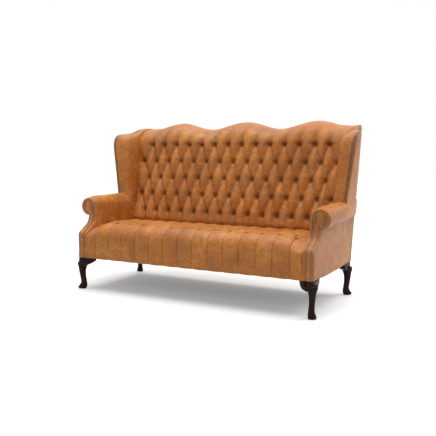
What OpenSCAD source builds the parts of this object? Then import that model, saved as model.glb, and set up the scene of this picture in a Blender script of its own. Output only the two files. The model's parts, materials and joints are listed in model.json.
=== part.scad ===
// Three-seater high-back sofa with wings, scroll arms and cabriole legs.
// Leather is tufted over foam on a timber frame. +X is the right end seen from the front,
// the front faces -Y and the feet stand on Z = 0.

/* [Overall] */
// Width across the two outside arm panels
base_w = 1754; // [1600:2:1900]
// Depth from the front channels to the rear top edge
total_d = 960; // [900:2:1040]
// Height of the three humps along the top of the back
hump_h = 1193; // [1150:1:1250]
// Drop from the humps to the two valleys between them
valley_drop = 53; // [40:1:70]
// Drop from the humps to the ends of the back, where it meets the wings
shoulder_drop = 41; // [30:1:60]
// Distance of the outer humps from the middle
hump_x = 564; // [500:1:600]
// Distance of the valleys from the middle
valley_x = 288; // [240:1:330]

/* [Legs] */
// Height of the legs, from the floor to the bottom of the rails
leg_h = 226; // [190:1:250]
// Side of the square block at the top of a leg
leg_block = 68; // [60:1:76]
// Height of that block
leg_block_h = 48; // [36:1:60]
// Radius of the round foot
foot_r = 29; // [24:0.5:32]
// Radius of the ankle
ankle_r = 18; // [15:0.5:22]
// Thickness of the felt glide under each foot
glide_t = 2; // [1:0.5:3]
// Radius of the glide
glide_r = 18; // [12:1:22]
// Length of the knee brackets along the front and rear rails
bracket_l = 48; // [36:1:110]
// Length of the knee brackets along the side rails
side_bracket_l = 67; // [50:1:110]
// Thickness of a knee bracket
bracket_t = 26; // [18:1:30]
// Depth of a knee bracket at its tip
bracket_tip = 20; // [12:1:30]
// Radius of the bolt that holds a leg
bolt_r = 5; // [4:0.5:6]
// Radial clearance round that bolt
bolt_gap = 0.3; // [0.1:0.1:0.6]

/* [Frame] */
// Height of the seat rails
rail_h = 115; // [90:1:125]
// Thickness of the seat rails
rail_t = 30; // [24:1:36]
// Width of a back post
post_w = 50; // [44:1:60]
// Thickness of the back frame from front to rear
back_frame_t = 45; // [36:1:50]
// Drop from the humps to the bottom edge of the top rail
top_rail_drop = 143; // [130:1:160]
// Height of the bottom edge of the lower back rail
lower_rail_z = 440; // [400:1:470]
// Height of the lower back rail
lower_rail_h = 60; // [40:1:80]
// Height of the front to back cross rails
cross_rail_h = 60; // [40:1:80]
// Length of the corner blocks along the rails
corner_l = 100; // [80:1:120]
// Height of the corner blocks
corner_h = 60; // [50:1:80]
// Thickness of the front boards of the arms
arm_board_t = 36; // [30:1:40]
// Height of the timber rails in the arms
arm_rail_h = 60; // [40:1:70]
// Thickness of the wing boards
wing_board_t = 22; // [18:1:28]

/* [Covers] */
// Thickness of the flat leather panels with their felt
panel_t = 4; // [3:0.5:5]
// Thickness of the wing leather with its wadding
wing_skin_t = 5; // [3:0.5:7]
// Thickness of the dust cover under the seat
dust_t = 2; // [1:0.5:3]
// Space between the dust cover and the outside of the base
dust_inset = 34; // [30:1:50]

/* [Arms] */
// Thickness of an arm between the seat and the outside panel
arm_t = 72; // [66:1:80]
// Height of the centre of the scroll
scroll_z = 580; // [560:1:600]
// Radius of the leather roll of the scroll
scroll_r = 64; // [58:1:66]
// Radius of the facing disc of the scroll
facing_r = 46; // [40:1:48]
// How far the scroll stands behind the front of the facing
scroll_back = 116; // [100:1:130]
// Length of the roll behind the scroll before it narrows
roll_l = 354; // [300:2:400]
// How far the roll stands out from the outside panel at the rear
roll_end = 10; // [6:1:20]
// Height at which the facing starts to sweep back
sweep_z = 388; // [370:1:400]
// Lean of the swept facing from upright, in degrees
sweep_a = 58; // [54:1:62]
// Radius of the convex bend at the foot of the sweep
sweep_r = 25; // [15:1:30]
// Height at which the sweep ends under the scroll
neck_z = 518; // [512:1:524]
// Width of the arm leather beside the facing, on the seat side
lip_in = 19; // [15:1:22]
// Width of the leather beside the facing, on the outer side
lip_out = 8; // [6:1:12]

/* [Wings] */
// Distance from the front channels to the front edge of a wing
wing_front = 518; // [490:1:540]
// Height of the bottom of a wing
wing_z = 600; // [596:1:612]
// Outward lean of the outer face of a wing, sideways per unit of height
wing_lean_out = 0.125; // [0.09:0.005:0.14]
// Height where the outer face of a wing, carried on down, meets the outside arm panel
wing_flare_z = 375; // [330:5:450]
// Narrowing of a wing towards the rear, sideways per unit of depth
wing_taper = 0.28; // [0.24:0.01:0.32]
// Outward lean of the inner face of a wing, sideways per unit of height
wing_lean_in = 0.1; // [0.06:0.002:0.11]
// Radius-like rounding of the inner front edge of a wing
wing_round = 30; // [20:1:36]

/* [Seat] */
// Height of the first row of seat buttons
seat_h = 470; // [455:1:480]
// Slope of the seat down to the back, in degrees
seat_slope = 4.3; // [2:0.1:6]
// Depth of the rounded front edge of the seat
nose_d = 111; // [95:1:120]
// Height of the rounded front edge of the seat
nose_h = 86; // [70:1:95]
// Distance from one seat button row to the next
seat_row_p = 120; // [105:1:122]
// How far a front channel stands out from its seams
channel_h = 14; // [8:1:18]
// Height of the seat tufts over their buttons
seat_crown = 16; // [10:1:20]
// Leather and wadding between the seams and the seat foam
seat_skin_t = 10; // [8:1:14]
// Foam between the front rail and the front leather
nose_foam_t = 8; // [5:1:12]
// Thickness of the hessian over the springs
hessian_t = 2; // [1:0.5:3]
// Number of springs under the seat
spring_n = 13; // [9:1:15]
// Thickness of the spring wire
wire_t = 4; // [3:0.5:5]
// Width of a spring from bend to bend
spring_w = 50; // [36:1:60]
// Thickness of the clips that hold the springs
clip_t = 3; // [2:0.5:4]

/* [Back] */
// Rake of the outside back from upright, in degrees
back_rake = 12.1; // [10:0.1:13]
// Rake of the tufted back from upright, in degrees
tuft_rake = 15.15; // [14:0.05:16]
// Horizontal thickness of the back at the top button row
back_t = 174; // [165:1:185]
// Drop from the humps to the top button row
top_band = 175; // [165:1:180]
// Height of the fourth button row, where the wings start to lean, over the top of the arms
knee_rise = 4.25; // [2:0.25:12]
// How far the back reaches down behind the seat
back_tuck = 34.5; // [20:0.5:40]
// Height of the back tufts over their buttons
back_crown = 30; // [20:1:34]
// Leather and wadding between the buttons and the back foam
back_skin_t = 12; // [8:1:16]
// Padding over the top rail
crest_pad = 26; // [20:1:30]
// Distance of the ridge of the crest from the outside back
crest_back = 20; // [14:1:45]
// Height of the rounded front of the crest
crest_round = 62; // [54:1:68]
// Drop of the rounded rear edge of the crest
rear_round = 14; // [10:1:18]
// Drop of the crest leather down the outside back
rear_lip = 50; // [40:1:56]
// Thickness of the back webbing
web_t = 3; // [2:0.5:4]
// Width of a webbing strap
web_w = 50; // [40:1:60]
// Number of webbing straps
web_n = 6; // [4:1:7]
// Clearance between the seat and the back
crevice = 10; // [8:1:14]

/* [Buttons and nails] */
// Number of buttons in the full-width rows
button_n = 14; // [12:1:15]
// Width of the end channels as a share of the button pitch
end_share = 0.72; // [0.6:0.01:0.9]
// Radius of a covered button
button_r = 11; // [8:0.5:12]
// Height of the domed face of a button
button_dome = 3; // [2:0.5:4]
// Distance from one nail to the next
nail_p = 12; // [11:0.5:16]
// Radius of a nail head
nail_r = 4; // [3:0.5:5]
// Height of a nail head
nail_dome = 2; // [1.5:0.5:3]
// Distance of the nail lines from the edge of the facing
nail_edge = 5; // [4:0.5:6]
// Distance of the nail line of a wing from its outer face
wing_nail_inset = 12; // [8:0.5:16]
// Clearance under buttons and nail heads
trim_gap = 0.3; // [0.1:0.1:0.5]

/* [Hidden] */

leather = "#b06e3a";
leather_dark = "#94582c";
timber = "#d8b98a";
mahogany = "#26100c";
foam = "#efe6c4";
steel = "#8a8d92";
cloth = "#3a3a3c";
hessian = "#b79a6a";
pewter = "#4d5158";

// Planes that the pieces share
half_w = base_w / 2;
frame_x = half_w - panel_t;
rail_in_x = frame_x - rail_t;
arm_in_x = half_w - arm_t;
arm_skin_x = arm_in_x + panel_t;
facing_in_x = arm_in_x + lip_in;
facing_out_x = half_w - lip_out;
scroll_x = frame_x;
seam_y = -total_d / 2 + channel_h;
nose_foam_y = seam_y + seat_skin_t;
rail_front_y = nose_foam_y + nose_foam_t;
rail_back_y = rail_front_y + rail_t;
facing_y = seam_y - panel_t;
board_y = facing_y + panel_t;
board_back_y = board_y + arm_board_t;
scroll_y = facing_y + scroll_back;
scroll_board_y = scroll_y + panel_t;
scroll_back_y = scroll_board_y + arm_board_t;
scroll_edge_r = (scroll_r - facing_r) / 2;
rail_top = leg_h + rail_h;
hessian_z = rail_top + wire_t + clip_t;
seat_foam_z = hessian_z + hessian_t;

// Back planes: rear_y is the outside back, button_y the plane through the buttons
rear_edge_y = total_d / 2;
rear_edge_z = hump_h - rear_round;
valley_h = hump_h - valley_drop;
shoulder_h = hump_h - shoulder_drop;
top_rail_z = hump_h - top_rail_drop;
top_row_z = hump_h - top_band;
back_rows = 5;
knee_z = scroll_z + scroll_r + knee_rise;
back_row_dz = (top_row_z - knee_z) / (back_rows - 2);
function rear_y(z) = rear_edge_y - tan(back_rake) * (rear_edge_z - z);
top_row_y = rear_y(top_row_z) - back_t;
function button_y(z) = top_row_y + tan(tuft_rake) * (z - top_row_z);
function back_foam_y(z) = button_y(z) + back_skin_t;
function back_row_z(v) = top_row_z - v * back_row_dz;
tuft_normal = [0, -cos(tuft_rake), sin(tuft_rake)];
frame_rear = panel_t;
frame_front = panel_t + back_frame_t;
web_front = frame_front + web_t;

// Inner and outer face of a wing. The inner face leans out over the fourth button row, and the
// outer face leans out all the way up and comes in to the outside back along the taper.
function inner_x(z) = arm_in_x + wing_lean_in * max(0, z - knee_z);
function outer_x(z) = half_w + wing_lean_out * (z - wing_flare_z);
function taper_x(y, z) = half_w + wing_taper * (rear_y(z) - y);

// Tufting grid: four columns to each button pitch
tuft_p = 2 * arm_in_x / (button_n - 1 + 2 * end_share);
last_col = 2 * button_n;
columns = [for (i = [-last_col : last_col]) i * tuft_p / 4];
tuft_power = 0.75;
pleat_share = 0.27;

function half_wave(t) = (1 - cos(180 * t)) / 2;
function crest_z(x) =
    let (a = abs(x))
    a < valley_x ? hump_h - (hump_h - valley_h) * half_wave(a / valley_x)
    : a < hump_x ? valley_h + (hump_h - valley_h) * half_wave((a - valley_x) / (hump_x - valley_x))
    : a < arm_in_x ? hump_h - (hump_h - shoulder_h) * half_wave((a - hump_x) / (arm_in_x - hump_x))
    : shoulder_h;

// Height of the leather between buttons, 0 on the pleats and 1 at the middle of a diamond.
// s counts button pitches across and v counts rows; row 0 has its buttons at half pitches.
function row_shift(v) = v / 2 + (button_n % 2 == 0 ? 0.5 : 0);
function pillow(s, v) =
    pow(abs(sin(180 * (s + row_shift(v))) * sin(180 * (s + row_shift(-v)))), tuft_power);
function near_whole(x) = abs(x - round(x)) < 0.01;
function on_button(s, v) = near_whole(v) && near_whole(s + row_shift(v));
function tuft_h(s, v, crown, first, last) =
    on_button(s, v) && v >= first && v <= last ? 0
    : crown * (pleat_share + (1 - pleat_share) * pillow(s, min(max(v, first), last)));

// One closed ring of points after another, joined by triangles. caps lists the index loops
// that close both ends, and turn picks which way the first triangle pair is split.
module skin(rings, caps, turn = 0) {
    n = len(rings[0]);
    last = (len(rings) - 1) * n;
    sides = [
        for (k = [0 : len(rings) - 2])
        for (j = [0 : n - 1])
        let (a = k * n + j, b = k * n + (j + 1) % n, c = a + n, d = b + n)
        each (k + j + turn) % 2 == 0 ? [[a, b, d], [a, d, c]] : [[a, b, c], [b, d, c]]
    ];
    starts = [for (cap = caps) [for (j = [len(cap) - 1 : -1 : 0]) cap[j]]];
    ends = [for (cap = caps) [for (j = cap) last + j]];
    polyhedron(points = [for (ring = rings) each ring], faces = concat(sides, starts, ends));
}

// Smooth open curve through the given points, with steps points on each stretch
function curve_point(p, i, t) =
    let (
        a = p[max(i - 1, 0)],
        b = p[i],
        c = p[i + 1],
        d = p[min(i + 2, len(p) - 1)]
    )
    0.5 * (2 * b + (c - a) * t + (2 * a - 5 * b + 4 * c - d) * t * t
        + (3 * b - a - 3 * c + d) * t * t * t);
function curve(p, steps) = concat(
    [for (i = [0 : len(p) - 2]) for (k = [0 : steps - 1]) curve_point(p, i, k / steps)],
    [p[len(p) - 1]]
);

// Places along a line of points, evenly spaced, each with the direction of its stretch
function run_lengths(p, i = 0, sum = 0, out = []) =
    i == len(p) - 1 ? concat(out, [sum])
    : run_lengths(p, i + 1, sum + norm(p[i + 1] - p[i]), concat(out, [sum]));
function stretch_of(lengths, s) =
    let (found = [for (i = [0 : len(lengths) - 2]) if (s <= lengths[i + 1]) i])
    len(found) > 0 ? found[0] : len(lengths) - 2;
function places(p, step) =
    let (lengths = run_lengths(p), total = lengths[len(p) - 1], count = floor(total / step))
    [
        for (k = [0 : count])
        let (
            s = (k + 0.5) * total / (count + 1),
            i = stretch_of(lengths, s),
            along = (p[i + 1] - p[i]) / (lengths[i + 1] - lengths[i])
        )
        [p[i] + along * (s - lengths[i]), along]
    ];

// An outline of [y, z] points made as thick as x0 to x1
module side_plate(x0, x1, outline) {
    translate([x0, 0, 0])
    rotate([90, 0, 90])
    linear_extrude(x1 - x0)
    polygon(outline);
}

// An outline of [x, z] points, drawn through the whole depth
module front_prism(outline) {
    translate([0, total_d, 0])
    rotate([90, 0, 0])
    linear_extrude(2 * total_d)
    polygon(outline);
}

// The slab between two depths in front of the outside back
module back_slab(front, rear, z0, z1) {
    side_plate(-base_w, base_w, [
        [rear_y(z0) - front, z0],
        [rear_y(z0) - rear, z0],
        [rear_y(z1) - rear, z1],
        [rear_y(z1) - front, z1]
    ]);
}

// Everything behind a plane that lies depth in front of the outside back
module behind(depth) {
    back_slab(depth, -total_d, 0, 2 * hump_h);
}

module box(lo, hi) {
    translate(lo)
    cube(hi - lo);
}

module both_sides() {
    children();
    mirror([1, 0, 0])
    children();
}

// Front edge of an arm facing, in [y, z]: upright, swept back, then upright under the scroll
sweep_start = [facing_y + sweep_r * (1 - cos(sweep_a)), sweep_z + sweep_r * sin(sweep_a)];
neck_r = ((neck_z - sweep_start[1]) * sin(sweep_a) - (scroll_y - sweep_start[0]) * cos(sweep_a))
    / (1 - cos(sweep_a));
function facing_line(shift) = concat(
    [[facing_y + shift, leg_h]],
    [
        for (a = [0 : sweep_a / 3 : sweep_a])
        [facing_y + sweep_r * (1 - cos(a)) + shift, sweep_z + sweep_r * sin(a)]
    ],
    [
        for (a = [sweep_a : -sweep_a / 4 : 0])
        [scroll_y - neck_r * (1 - cos(a)) + shift, neck_z - neck_r * sin(a)]
    ],
    [[scroll_y + shift, scroll_z]]
);
function reversed(list) = [for (i = [len(list) - 1 : -1 : 0]) list[i]];
function swept_strip(front, rear) = concat(facing_line(front), reversed(facing_line(rear)));

// Seat profile in [y, z], through the seams
nose_y = seam_y + nose_d;
nose_z = seat_h - nose_h;
function seat_z(y) = seat_h - tan(seat_slope) * (y - nose_y);
seat_normal = [0, sin(seat_slope), cos(seat_slope)];
seat_rows = 4;
seat_row_dy = seat_row_p * cos(seat_slope);
function seat_rear_y(z) = button_y(z) - crevice;
seat_end_y = (top_row_y + tan(tuft_rake) * (seat_h + tan(seat_slope) * nose_y - top_row_z) - crevice)
    / (1 + tan(tuft_rake) * tan(seat_slope));
seat_end_z = seat_z(seat_end_y);
foam_end_z = seat_end_z - seat_skin_t;
back_low_z = seat_end_z - back_tuck;
function nose_point(a) = [seam_y + nose_d * (1 - cos(a)), nose_z + nose_h * sin(a)];
front_steps = 3;
nose_steps = 3;
hem_share = 0.5;
edge_puff = 0.3;
foam_nose_y = nose_y - 0.3 * nose_d;
foam_nose_z = seat_h - 1.4 * seat_skin_t;
foam_line = [
    [nose_foam_y, leg_h],
    [nose_foam_y, nose_z],
    [foam_nose_y, foam_nose_z],
    [seat_rear_y(foam_end_z), foam_end_z]
];

function seat_ring(x, edge) =
    let (s = x / tuft_p, lift = edge ? edge_puff : 1, swell = lift * channel_h * sqrt(abs(cos(180 * s))))
    concat(
        [
            for (k = [0 : front_steps])
            let (z = leg_h + (nose_z - leg_h) * k / front_steps)
            [x, seam_y - swell * (hem_share + (1 - hem_share) * sin(90 * k / front_steps)), z]
        ],
        [
            for (k = [1 : nose_steps - 1])
            let (a = 90 * k / nose_steps, p = nose_point(a))
            [x, p[0] - swell * cos(a), p[1] + swell * sin(a)]
        ],
        [
            for (k = [0 : 2 * (seat_rows - 1)])
            let (
                v = k / 2,
                y = nose_y + v * seat_row_dy,
                h = lift * tuft_h(s, v, seat_crown, 0, seat_rows - 1)
            )
            [x, y, seat_z(y)] + h * seat_normal
        ],
        [[x, seat_end_y, seat_end_z]],
        [for (p = reversed(foam_line)) [x, p[0], p[1]]]
    );

// Back profile at x, from behind the seat up over the crest and down to the rear lip
flute_share = 0.7;
function back_point(x, edge, z, h) =
    edge ? [sign(x) * inner_x(z), button_y(z) - edge_puff * h, z]
    : [x, button_y(z), z] + h * tuft_normal;
function crest_point(x, edge, y, z) = [edge ? sign(x) * inner_x(z) : x, y, z];
function back_ring(x, edge) =
    let (
        s = x / tuft_p,
        top = edge ? shoulder_h : crest_z(x),
        arc_z = top - crest_round,
        arc_y = button_y(arc_z),
        ridge_y = rear_y(top) - crest_back
    )
    concat(
        [back_point(x, edge, back_low_z, 0)],
        [
            for (k = [2 * back_rows - 2 : -1 : 0])
            let (v = k / 2)
            back_point(x, edge, back_row_z(v), tuft_h(s, v, back_crown, 0, back_rows - 1))
        ],
        [
            back_point(
                x,
                edge,
                top_row_z + (arc_z - top_row_z) * flute_share,
                tuft_h(s, -flute_share, back_crown, 0, 0)
            )
        ],
        [
            crest_point(x, edge, ridge_y - (ridge_y - arc_y) * cos(45), arc_z + crest_round * sin(45)),
            crest_point(x, edge, ridge_y, top),
            crest_point(x, edge, rear_y(top - rear_round), top - rear_round),
            crest_point(x, edge, rear_y(top - rear_lip), top - rear_lip),
            crest_point(x, edge, rear_y(top - rear_lip) - frame_rear, top - rear_lip),
            crest_point(x, edge, rear_y(top - crest_pad) - frame_rear, top - crest_pad)
        ],
        foam_front(x, edge)
    );
// Front of the back foam, from its top edge down; the cover lies on the same points
function foam_front(x, edge) =
    let (
        top = (edge ? shoulder_h : crest_z(x)) - crest_pad,
        bevel = 0.75 * crest_round,
        bevel_z = top - bevel,
        bevel_y = back_foam_y(bevel_z)
    )
    [
        crest_point(x, edge, bevel_y + bevel, top),
        crest_point(x, edge, bevel_y, bevel_z),
        crest_point(x, edge, back_foam_y(knee_z), knee_z),
        crest_point(x, edge, back_foam_y(back_low_z), back_low_z)
    ];
function foam_ring(x, edge) =
    let (top = (edge ? shoulder_h : crest_z(x)) - crest_pad)
    concat(
        reversed(foam_front(x, edge)),
        [
            for (z = [top, knee_z, back_low_z])
            crest_point(x, edge, rear_y(z) - web_front, z)
        ]
    );
function all_rings(kind) = [
    for (k = [-1 : len(columns)])
    let (edge = k < 0 || k == len(columns), x = edge ? (k < 0 ? -1 : 1) * arm_in_x : columns[k])
    kind == "seat" ? seat_ring(x, edge) : kind == "back" ? back_ring(x, edge) : foam_ring(x, edge)
];

// Wing outline in [y, z], in shares of its depth and height, from the bottom of its front edge over the top to the rear
wing_y = -total_d / 2 + wing_front;
wing_rear_y = rear_y(shoulder_h) - panel_t;
wing_d = wing_rear_y - wing_y;
wing_h = shoulder_h - knee_z;
function wing_place(along, below) = [wing_y + along * wing_d, shoulder_h - below * wing_h];
wing_curve = curve([
    [wing_y, knee_z],
    wing_place(0.02, 0.56),
    wing_place(0.025, 0.328),
    wing_place(0.045, 0.226),
    wing_place(0.1, 0.149),
    wing_place(0.2, 0.109),
    wing_place(0.36, 0.091),
    wing_place(0.5, 0.074),
    wing_place(0.64, 0.028),
    wing_place(0.8, 0),
    wing_place(1, 0)
], 2);
wing_line = concat(
    [[wing_y - 4, wing_z]],
    wing_curve,
    [[rear_y(knee_z) - panel_t, knee_z], [rear_y(wing_z) - panel_t, wing_z]]
);
wing_n = len(wing_line);
wing_caps = [
    [0, 1, wing_n - 2, wing_n - 1],
    [for (i = [1 : wing_n - 2]) i]
];
// Inward direction at each point; the last one slides down the plane of the outside back
function wing_inward(i) =
    i > wing_n - 3 ? [0, 0]
    : i == wing_n - 3 ? [-tan(back_rake), -1]
    : let (
        a = wing_line[max(i - 1, 0)],
        b = wing_line[i + 1],
        u = (b - a) / norm(b - a)
    )
    [u[1], -u[0]];
// The rounding of the inner edge fades out along the top towards the back
function round_fade(i) =
    min(1, max(0, (wing_y + 0.62 * wing_d - wing_line[i][0]) / (0.3 * wing_d)));
function wing_ring(share, round_share, skin_t, shift) = [
    for (i = [0 : wing_n - 1])
    let (
        p = wing_line[i] + (round_share * wing_round * round_fade(i) + skin_t) * wing_inward(i)
    )
    [inner_x(p[1]) + share * (outer_x(p[1]) - inner_x(p[1])) + shift, p[0], p[1]]
];
// The padded wing with its inner front edge rounded. skin_t makes it smaller in front, on top
// and inside, and overrun lets it run out past the outer face.
module wing_body(skin_t, overrun) {
    rounding = [[0, 1], [0.1, 0.42], [0.25, 0.12], [0.42, 0]];
    rings = concat(
        [for (step = rounding) wing_ring(step[0], step[1], skin_t, skin_t * (1 - step[0]))],
        [wing_ring(1, 0, skin_t, overrun)]
    );
    skin(rings, [for (cap = wing_caps) reversed(cap)]);
}

// The space between the middle of the sofa and a face depth inside the outer face of a wing
module outer_space(depth) {
    intersection() {
        front_prism([
            [0, 0],
            [outer_x(0) - depth, 0],
            [outer_x(hump_h) - depth, hump_h],
            [0, hump_h]
        ]);
        skin([
            for (z = [0, hump_h])
            let (rear = rear_y(z) + back_t, front = rear_y(z) - total_d)
            [
                [0, rear, z],
                [taper_x(rear, z) - depth, rear, z],
                [taper_x(front, z) - depth, front, z],
                [0, front, z]
            ]
        ], [[0, 1, 2, 3]]);
    }
}

// The space beside the roll of an arm, whose outer side comes in towards the rear
module roll_side(depth) {
    taper_y = scroll_y + roll_l;
    side_x = scroll_x + scroll_r;
    narrowing = (side_x - half_w - roll_end) / (rear_y(scroll_z) - taper_y);
    translate([0, 0, scroll_z - 2 * scroll_r])
    linear_extrude(4 * scroll_r)
    polygon([
        for (y = [taper_y - roll_l / 2, total_d])
        [side_x - narrowing * (y - taper_y) - depth, y],
        [2 * base_w, total_d],
        [2 * base_w, taper_y - roll_l / 2]
    ]);
}

// Timber frame
module front_seat_rail() {
    color(timber)
    box([-arm_skin_x, rail_front_y, leg_h], [arm_skin_x, rail_back_y, rail_top]);
}

module rear_seat_rail() {
    color(timber)
    intersection() {
        back_slab(frame_front, frame_rear, leg_h, rail_top);
        box([post_w - frame_x, -total_d, 0], [frame_x - post_w, total_d, hump_h]);
    }
}

module seat_side_rail_right() {
    color(timber)
    difference() {
        box([rail_in_x, board_back_y, leg_h], [frame_x, total_d / 2, rail_top]);
        behind(frame_front);
    }
}

module seat_side_rail_left() {
    mirror([1, 0, 0])
    seat_side_rail_right();
}

module seat_cross_rails() {
    color(timber)
    for (side = [-1, 1])
    difference() {
        translate([side * valley_x, 0, 0])
        box([-rail_t / 2, rail_back_y, leg_h], [rail_t / 2, total_d / 2, leg_h + cross_rail_h]);
        behind(frame_front);
    }
}

// Leg bolts stand where a leg block and a corner block lie over each other
bolt_x = (half_w - leg_block + rail_in_x) / 2;
front_bolt_y = (board_back_y + facing_y + leg_block) / 2;
rear_bolt_y = rear_y(leg_h) - (leg_block + frame_front) / 2;
bolt_depth = 30;
nut_r = 9;
nut_h = 6;

module corner_block_front() {
    difference() {
        translate([0, 0, leg_h])
        linear_extrude(corner_h)
        polygon([
            [rail_in_x, board_back_y],
            [rail_in_x, board_back_y + corner_l],
            [rail_in_x - corner_l, rail_back_y],
            [arm_skin_x, rail_back_y],
            [arm_skin_x, board_back_y]
        ]);
        translate([bolt_x, front_bolt_y, 0])
        cylinder(h = hump_h, r = bolt_r + bolt_gap, $fn = 32);
    }
}

module corner_block_rear() {
    y = rear_y(leg_h) - frame_front;
    difference() {
        translate([0, 0, leg_h])
        linear_extrude(corner_h)
        polygon([
            [rail_in_x, y + back_frame_t],
            [rail_in_x, y - corner_l],
            [rail_in_x - corner_l, y + back_frame_t]
        ]);
        behind(frame_front);
        translate([bolt_x, rear_bolt_y, 0])
        cylinder(h = hump_h, r = bolt_r + bolt_gap, $fn = 32);
    }
}

module corner_blocks() {
    color(timber)
    both_sides() {
        corner_block_front();
        corner_block_rear();
    }
}

module post_shape() {
    box([frame_x - post_w, -total_d, leg_h], [frame_x, total_d, top_rail_z]);
}

module back_post_right() {
    color(timber)
    intersection() {
        back_slab(frame_front, frame_rear, leg_h, top_rail_z);
        post_shape();
    }
}

module back_post_left() {
    mirror([1, 0, 0])
    back_post_right();
}

module back_centre_posts() {
    color(timber)
    intersection() {
        back_slab(frame_front, frame_rear, lower_rail_z + lower_rail_h, top_rail_z);
        union() {
            for (side = [-1, 1])
            translate([side * valley_x, 0, 0])
            box([-post_w / 2, -total_d, 0], [post_w / 2, total_d, hump_h]);
        }
    }
}

module back_top_rail() {
    end_z = shoulder_h - crest_pad;
    edge_x = inner_x(end_z);
    color(timber)
    intersection() {
        back_slab(frame_front, frame_rear, top_rail_z, hump_h);
        front_prism(concat(
            [[-frame_x, top_rail_z], [-frame_x, end_z], [-edge_x, end_z]],
            [for (x = columns) [x, crest_z(x) - crest_pad]],
            [[edge_x, end_z], [frame_x, end_z], [frame_x, top_rail_z]]
        ));
    }
}

module back_lower_rail() {
    color(timber)
    intersection() {
        back_slab(frame_front, frame_rear, lower_rail_z, lower_rail_z + lower_rail_h);
        box([post_w - frame_x, -total_d, 0], [frame_x - post_w, total_d, hump_h]);
    }
}

// Arm boards, upright behind the facing with a round head in the scroll
module board_outline() {
    side_plate(arm_skin_x, frame_x, swept_strip(panel_t, panel_t + arm_board_t));
}

module arm_front_board_right() {
    color(timber)
    union() {
        board_outline();
        translate([scroll_x, scroll_back_y, scroll_z])
        rotate([90, 0, 0])
        cylinder(h = arm_board_t, r = facing_r, $fn = 64);
    }
}

module arm_front_board_left() {
    mirror([1, 0, 0])
    arm_front_board_right();
}

// The arm top rail carries the roll and the wing board, so it reaches out under the wing
module arm_top_rail_space() {
    difference() {
        box(
            [rail_in_x, scroll_back_y, wing_z - arm_rail_h],
            [outer_x(wing_z) - panel_t, total_d / 2, wing_z]
        );
        roll_side(panel_t);
    }
}

module arm_top_rail_right() {
    color(timber)
    difference() {
        arm_top_rail_space();
        behind(frame_front);
    }
}

module arm_top_rail_left() {
    mirror([1, 0, 0])
    arm_top_rail_right();
}

tacking_h = sweep_z - rail_top - panel_t;
module arm_tacking_rail_right() {
    color(timber)
    difference() {
        box([rail_in_x, board_back_y, rail_top], [frame_x, total_d / 2, rail_top + tacking_h]);
        behind(frame_front);
    }
}

module arm_tacking_rail_left() {
    mirror([1, 0, 0])
    arm_tacking_rail_right();
}

// Wing board, standing on the arm rail inside the padded wing
wing_board_inset = 3 * wing_skin_t;
module leaning_slab(in_depth, out_depth) {
    difference() {
        outer_space(out_depth);
        outer_space(in_depth);
    }
}

module wing_board_shape(gap) {
    shift = wing_board_inset - gap;
    difference() {
        intersection() {
            translate([0, shift, -shift])
            side_plate(0, base_w, wing_line);
            leaning_slab(panel_t + wing_board_t + gap, panel_t - gap);
            box([0, -total_d, wing_z - gap], [base_w, total_d, hump_h]);
        }
        behind(frame_front - gap);
    }
}

module wing_board_right() {
    color(timber)
    wing_board_shape(0);
}

module wing_board_left() {
    mirror([1, 0, 0])
    wing_board_right();
}

// Springs, their clips, the hessian over them and the webbing of the back
spring_front_y = rail_front_y + rail_t / 3;
spring_rear_y = rear_y(rail_top) - frame_front + back_frame_t / 3;
spring_bends = 10;
spring_pitch = 2 * (arm_in_x - spring_w) / spring_n;
spring_xs = [for (i = [0 : spring_n - 1]) (i - (spring_n - 1) / 2) * spring_pitch];
module spring() {
    step = (spring_rear_y - spring_front_y) / spring_bends;
    reach = (spring_w - wire_t) / 2;
    line = [
        for (i = [0 : spring_bends])
        [i == 0 || i == spring_bends ? 0 : (i % 2 == 0 ? 1 : -1) * reach, i * step]
    ];
    translate([0, spring_front_y, rail_top])
    linear_extrude(wire_t)
    polygon(concat(
        [for (p = line) p - [wire_t, 0]],
        [for (p = reversed(line)) p + [wire_t, 0]]
    ));
}

module seat_springs() {
    color(steel)
    for (x = spring_xs)
    translate([x, 0, 0])
    spring();
}

module clip(y) {
    translate([0, y, rail_top])
    difference() {
        box([-2 * wire_t - clip_t, -wire_t, 0], [2 * wire_t + clip_t, wire_t, wire_t + clip_t]);
        box([-2 * wire_t, -2 * wire_t, -1], [2 * wire_t, 2 * wire_t, wire_t]);
    }
}

module spring_clips() {
    color(steel)
    for (x = spring_xs)
    translate([x, 0, 0]) {
        clip(spring_front_y + wire_t);
        clip(spring_rear_y - wire_t);
    }
}

module seat_hessian() {
    color(hessian)
    box(
        [-arm_in_x, rail_front_y, hessian_z],
        [arm_in_x, seat_rear_y(hessian_z), seat_foam_z]
    );
}

web_low_z = lower_rail_z + lower_rail_h;
web_step = (top_rail_z - web_low_z) / web_n;
module web_outline() {
    box([-rail_in_x, -total_d, leg_h], [rail_in_x, total_d, top_rail_z]);
}

module back_webbing() {
    color(hessian)
    for (i = [0 : web_n - 1])
    let (z = web_low_z + (i + 0.5) * web_step)
    intersection() {
        back_slab(web_front, frame_front, leg_h, top_rail_z);
        web_outline();
        box([-base_w, -total_d, z - web_w / 2], [base_w, total_d, z + web_w / 2]);
    }
}

// Space of the webbing and the open frame behind it, for the pieces that end in front of them
module web_space() {
    intersection() {
        behind(web_front);
        web_outline();
    }
}

// The space of a back post, for the pieces that fit round it
module post_space() {
    intersection() {
        behind(frame_front);
        post_shape();
    }
}

// Foam and padding
module seat_foam() {
    color(foam)
    side_plate(-arm_in_x, arm_in_x, concat(
        foam_line,
        [
            [seat_rear_y(seat_foam_z), seat_foam_z],
            [rail_front_y, seat_foam_z],
            [rail_front_y, leg_h]
        ]
    ));
}

module back_foam() {
    color(foam)
    skin(all_rings("foam"), [[0, 1, 5, 6], [1, 2, 3, 4, 5]]);
}

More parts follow.
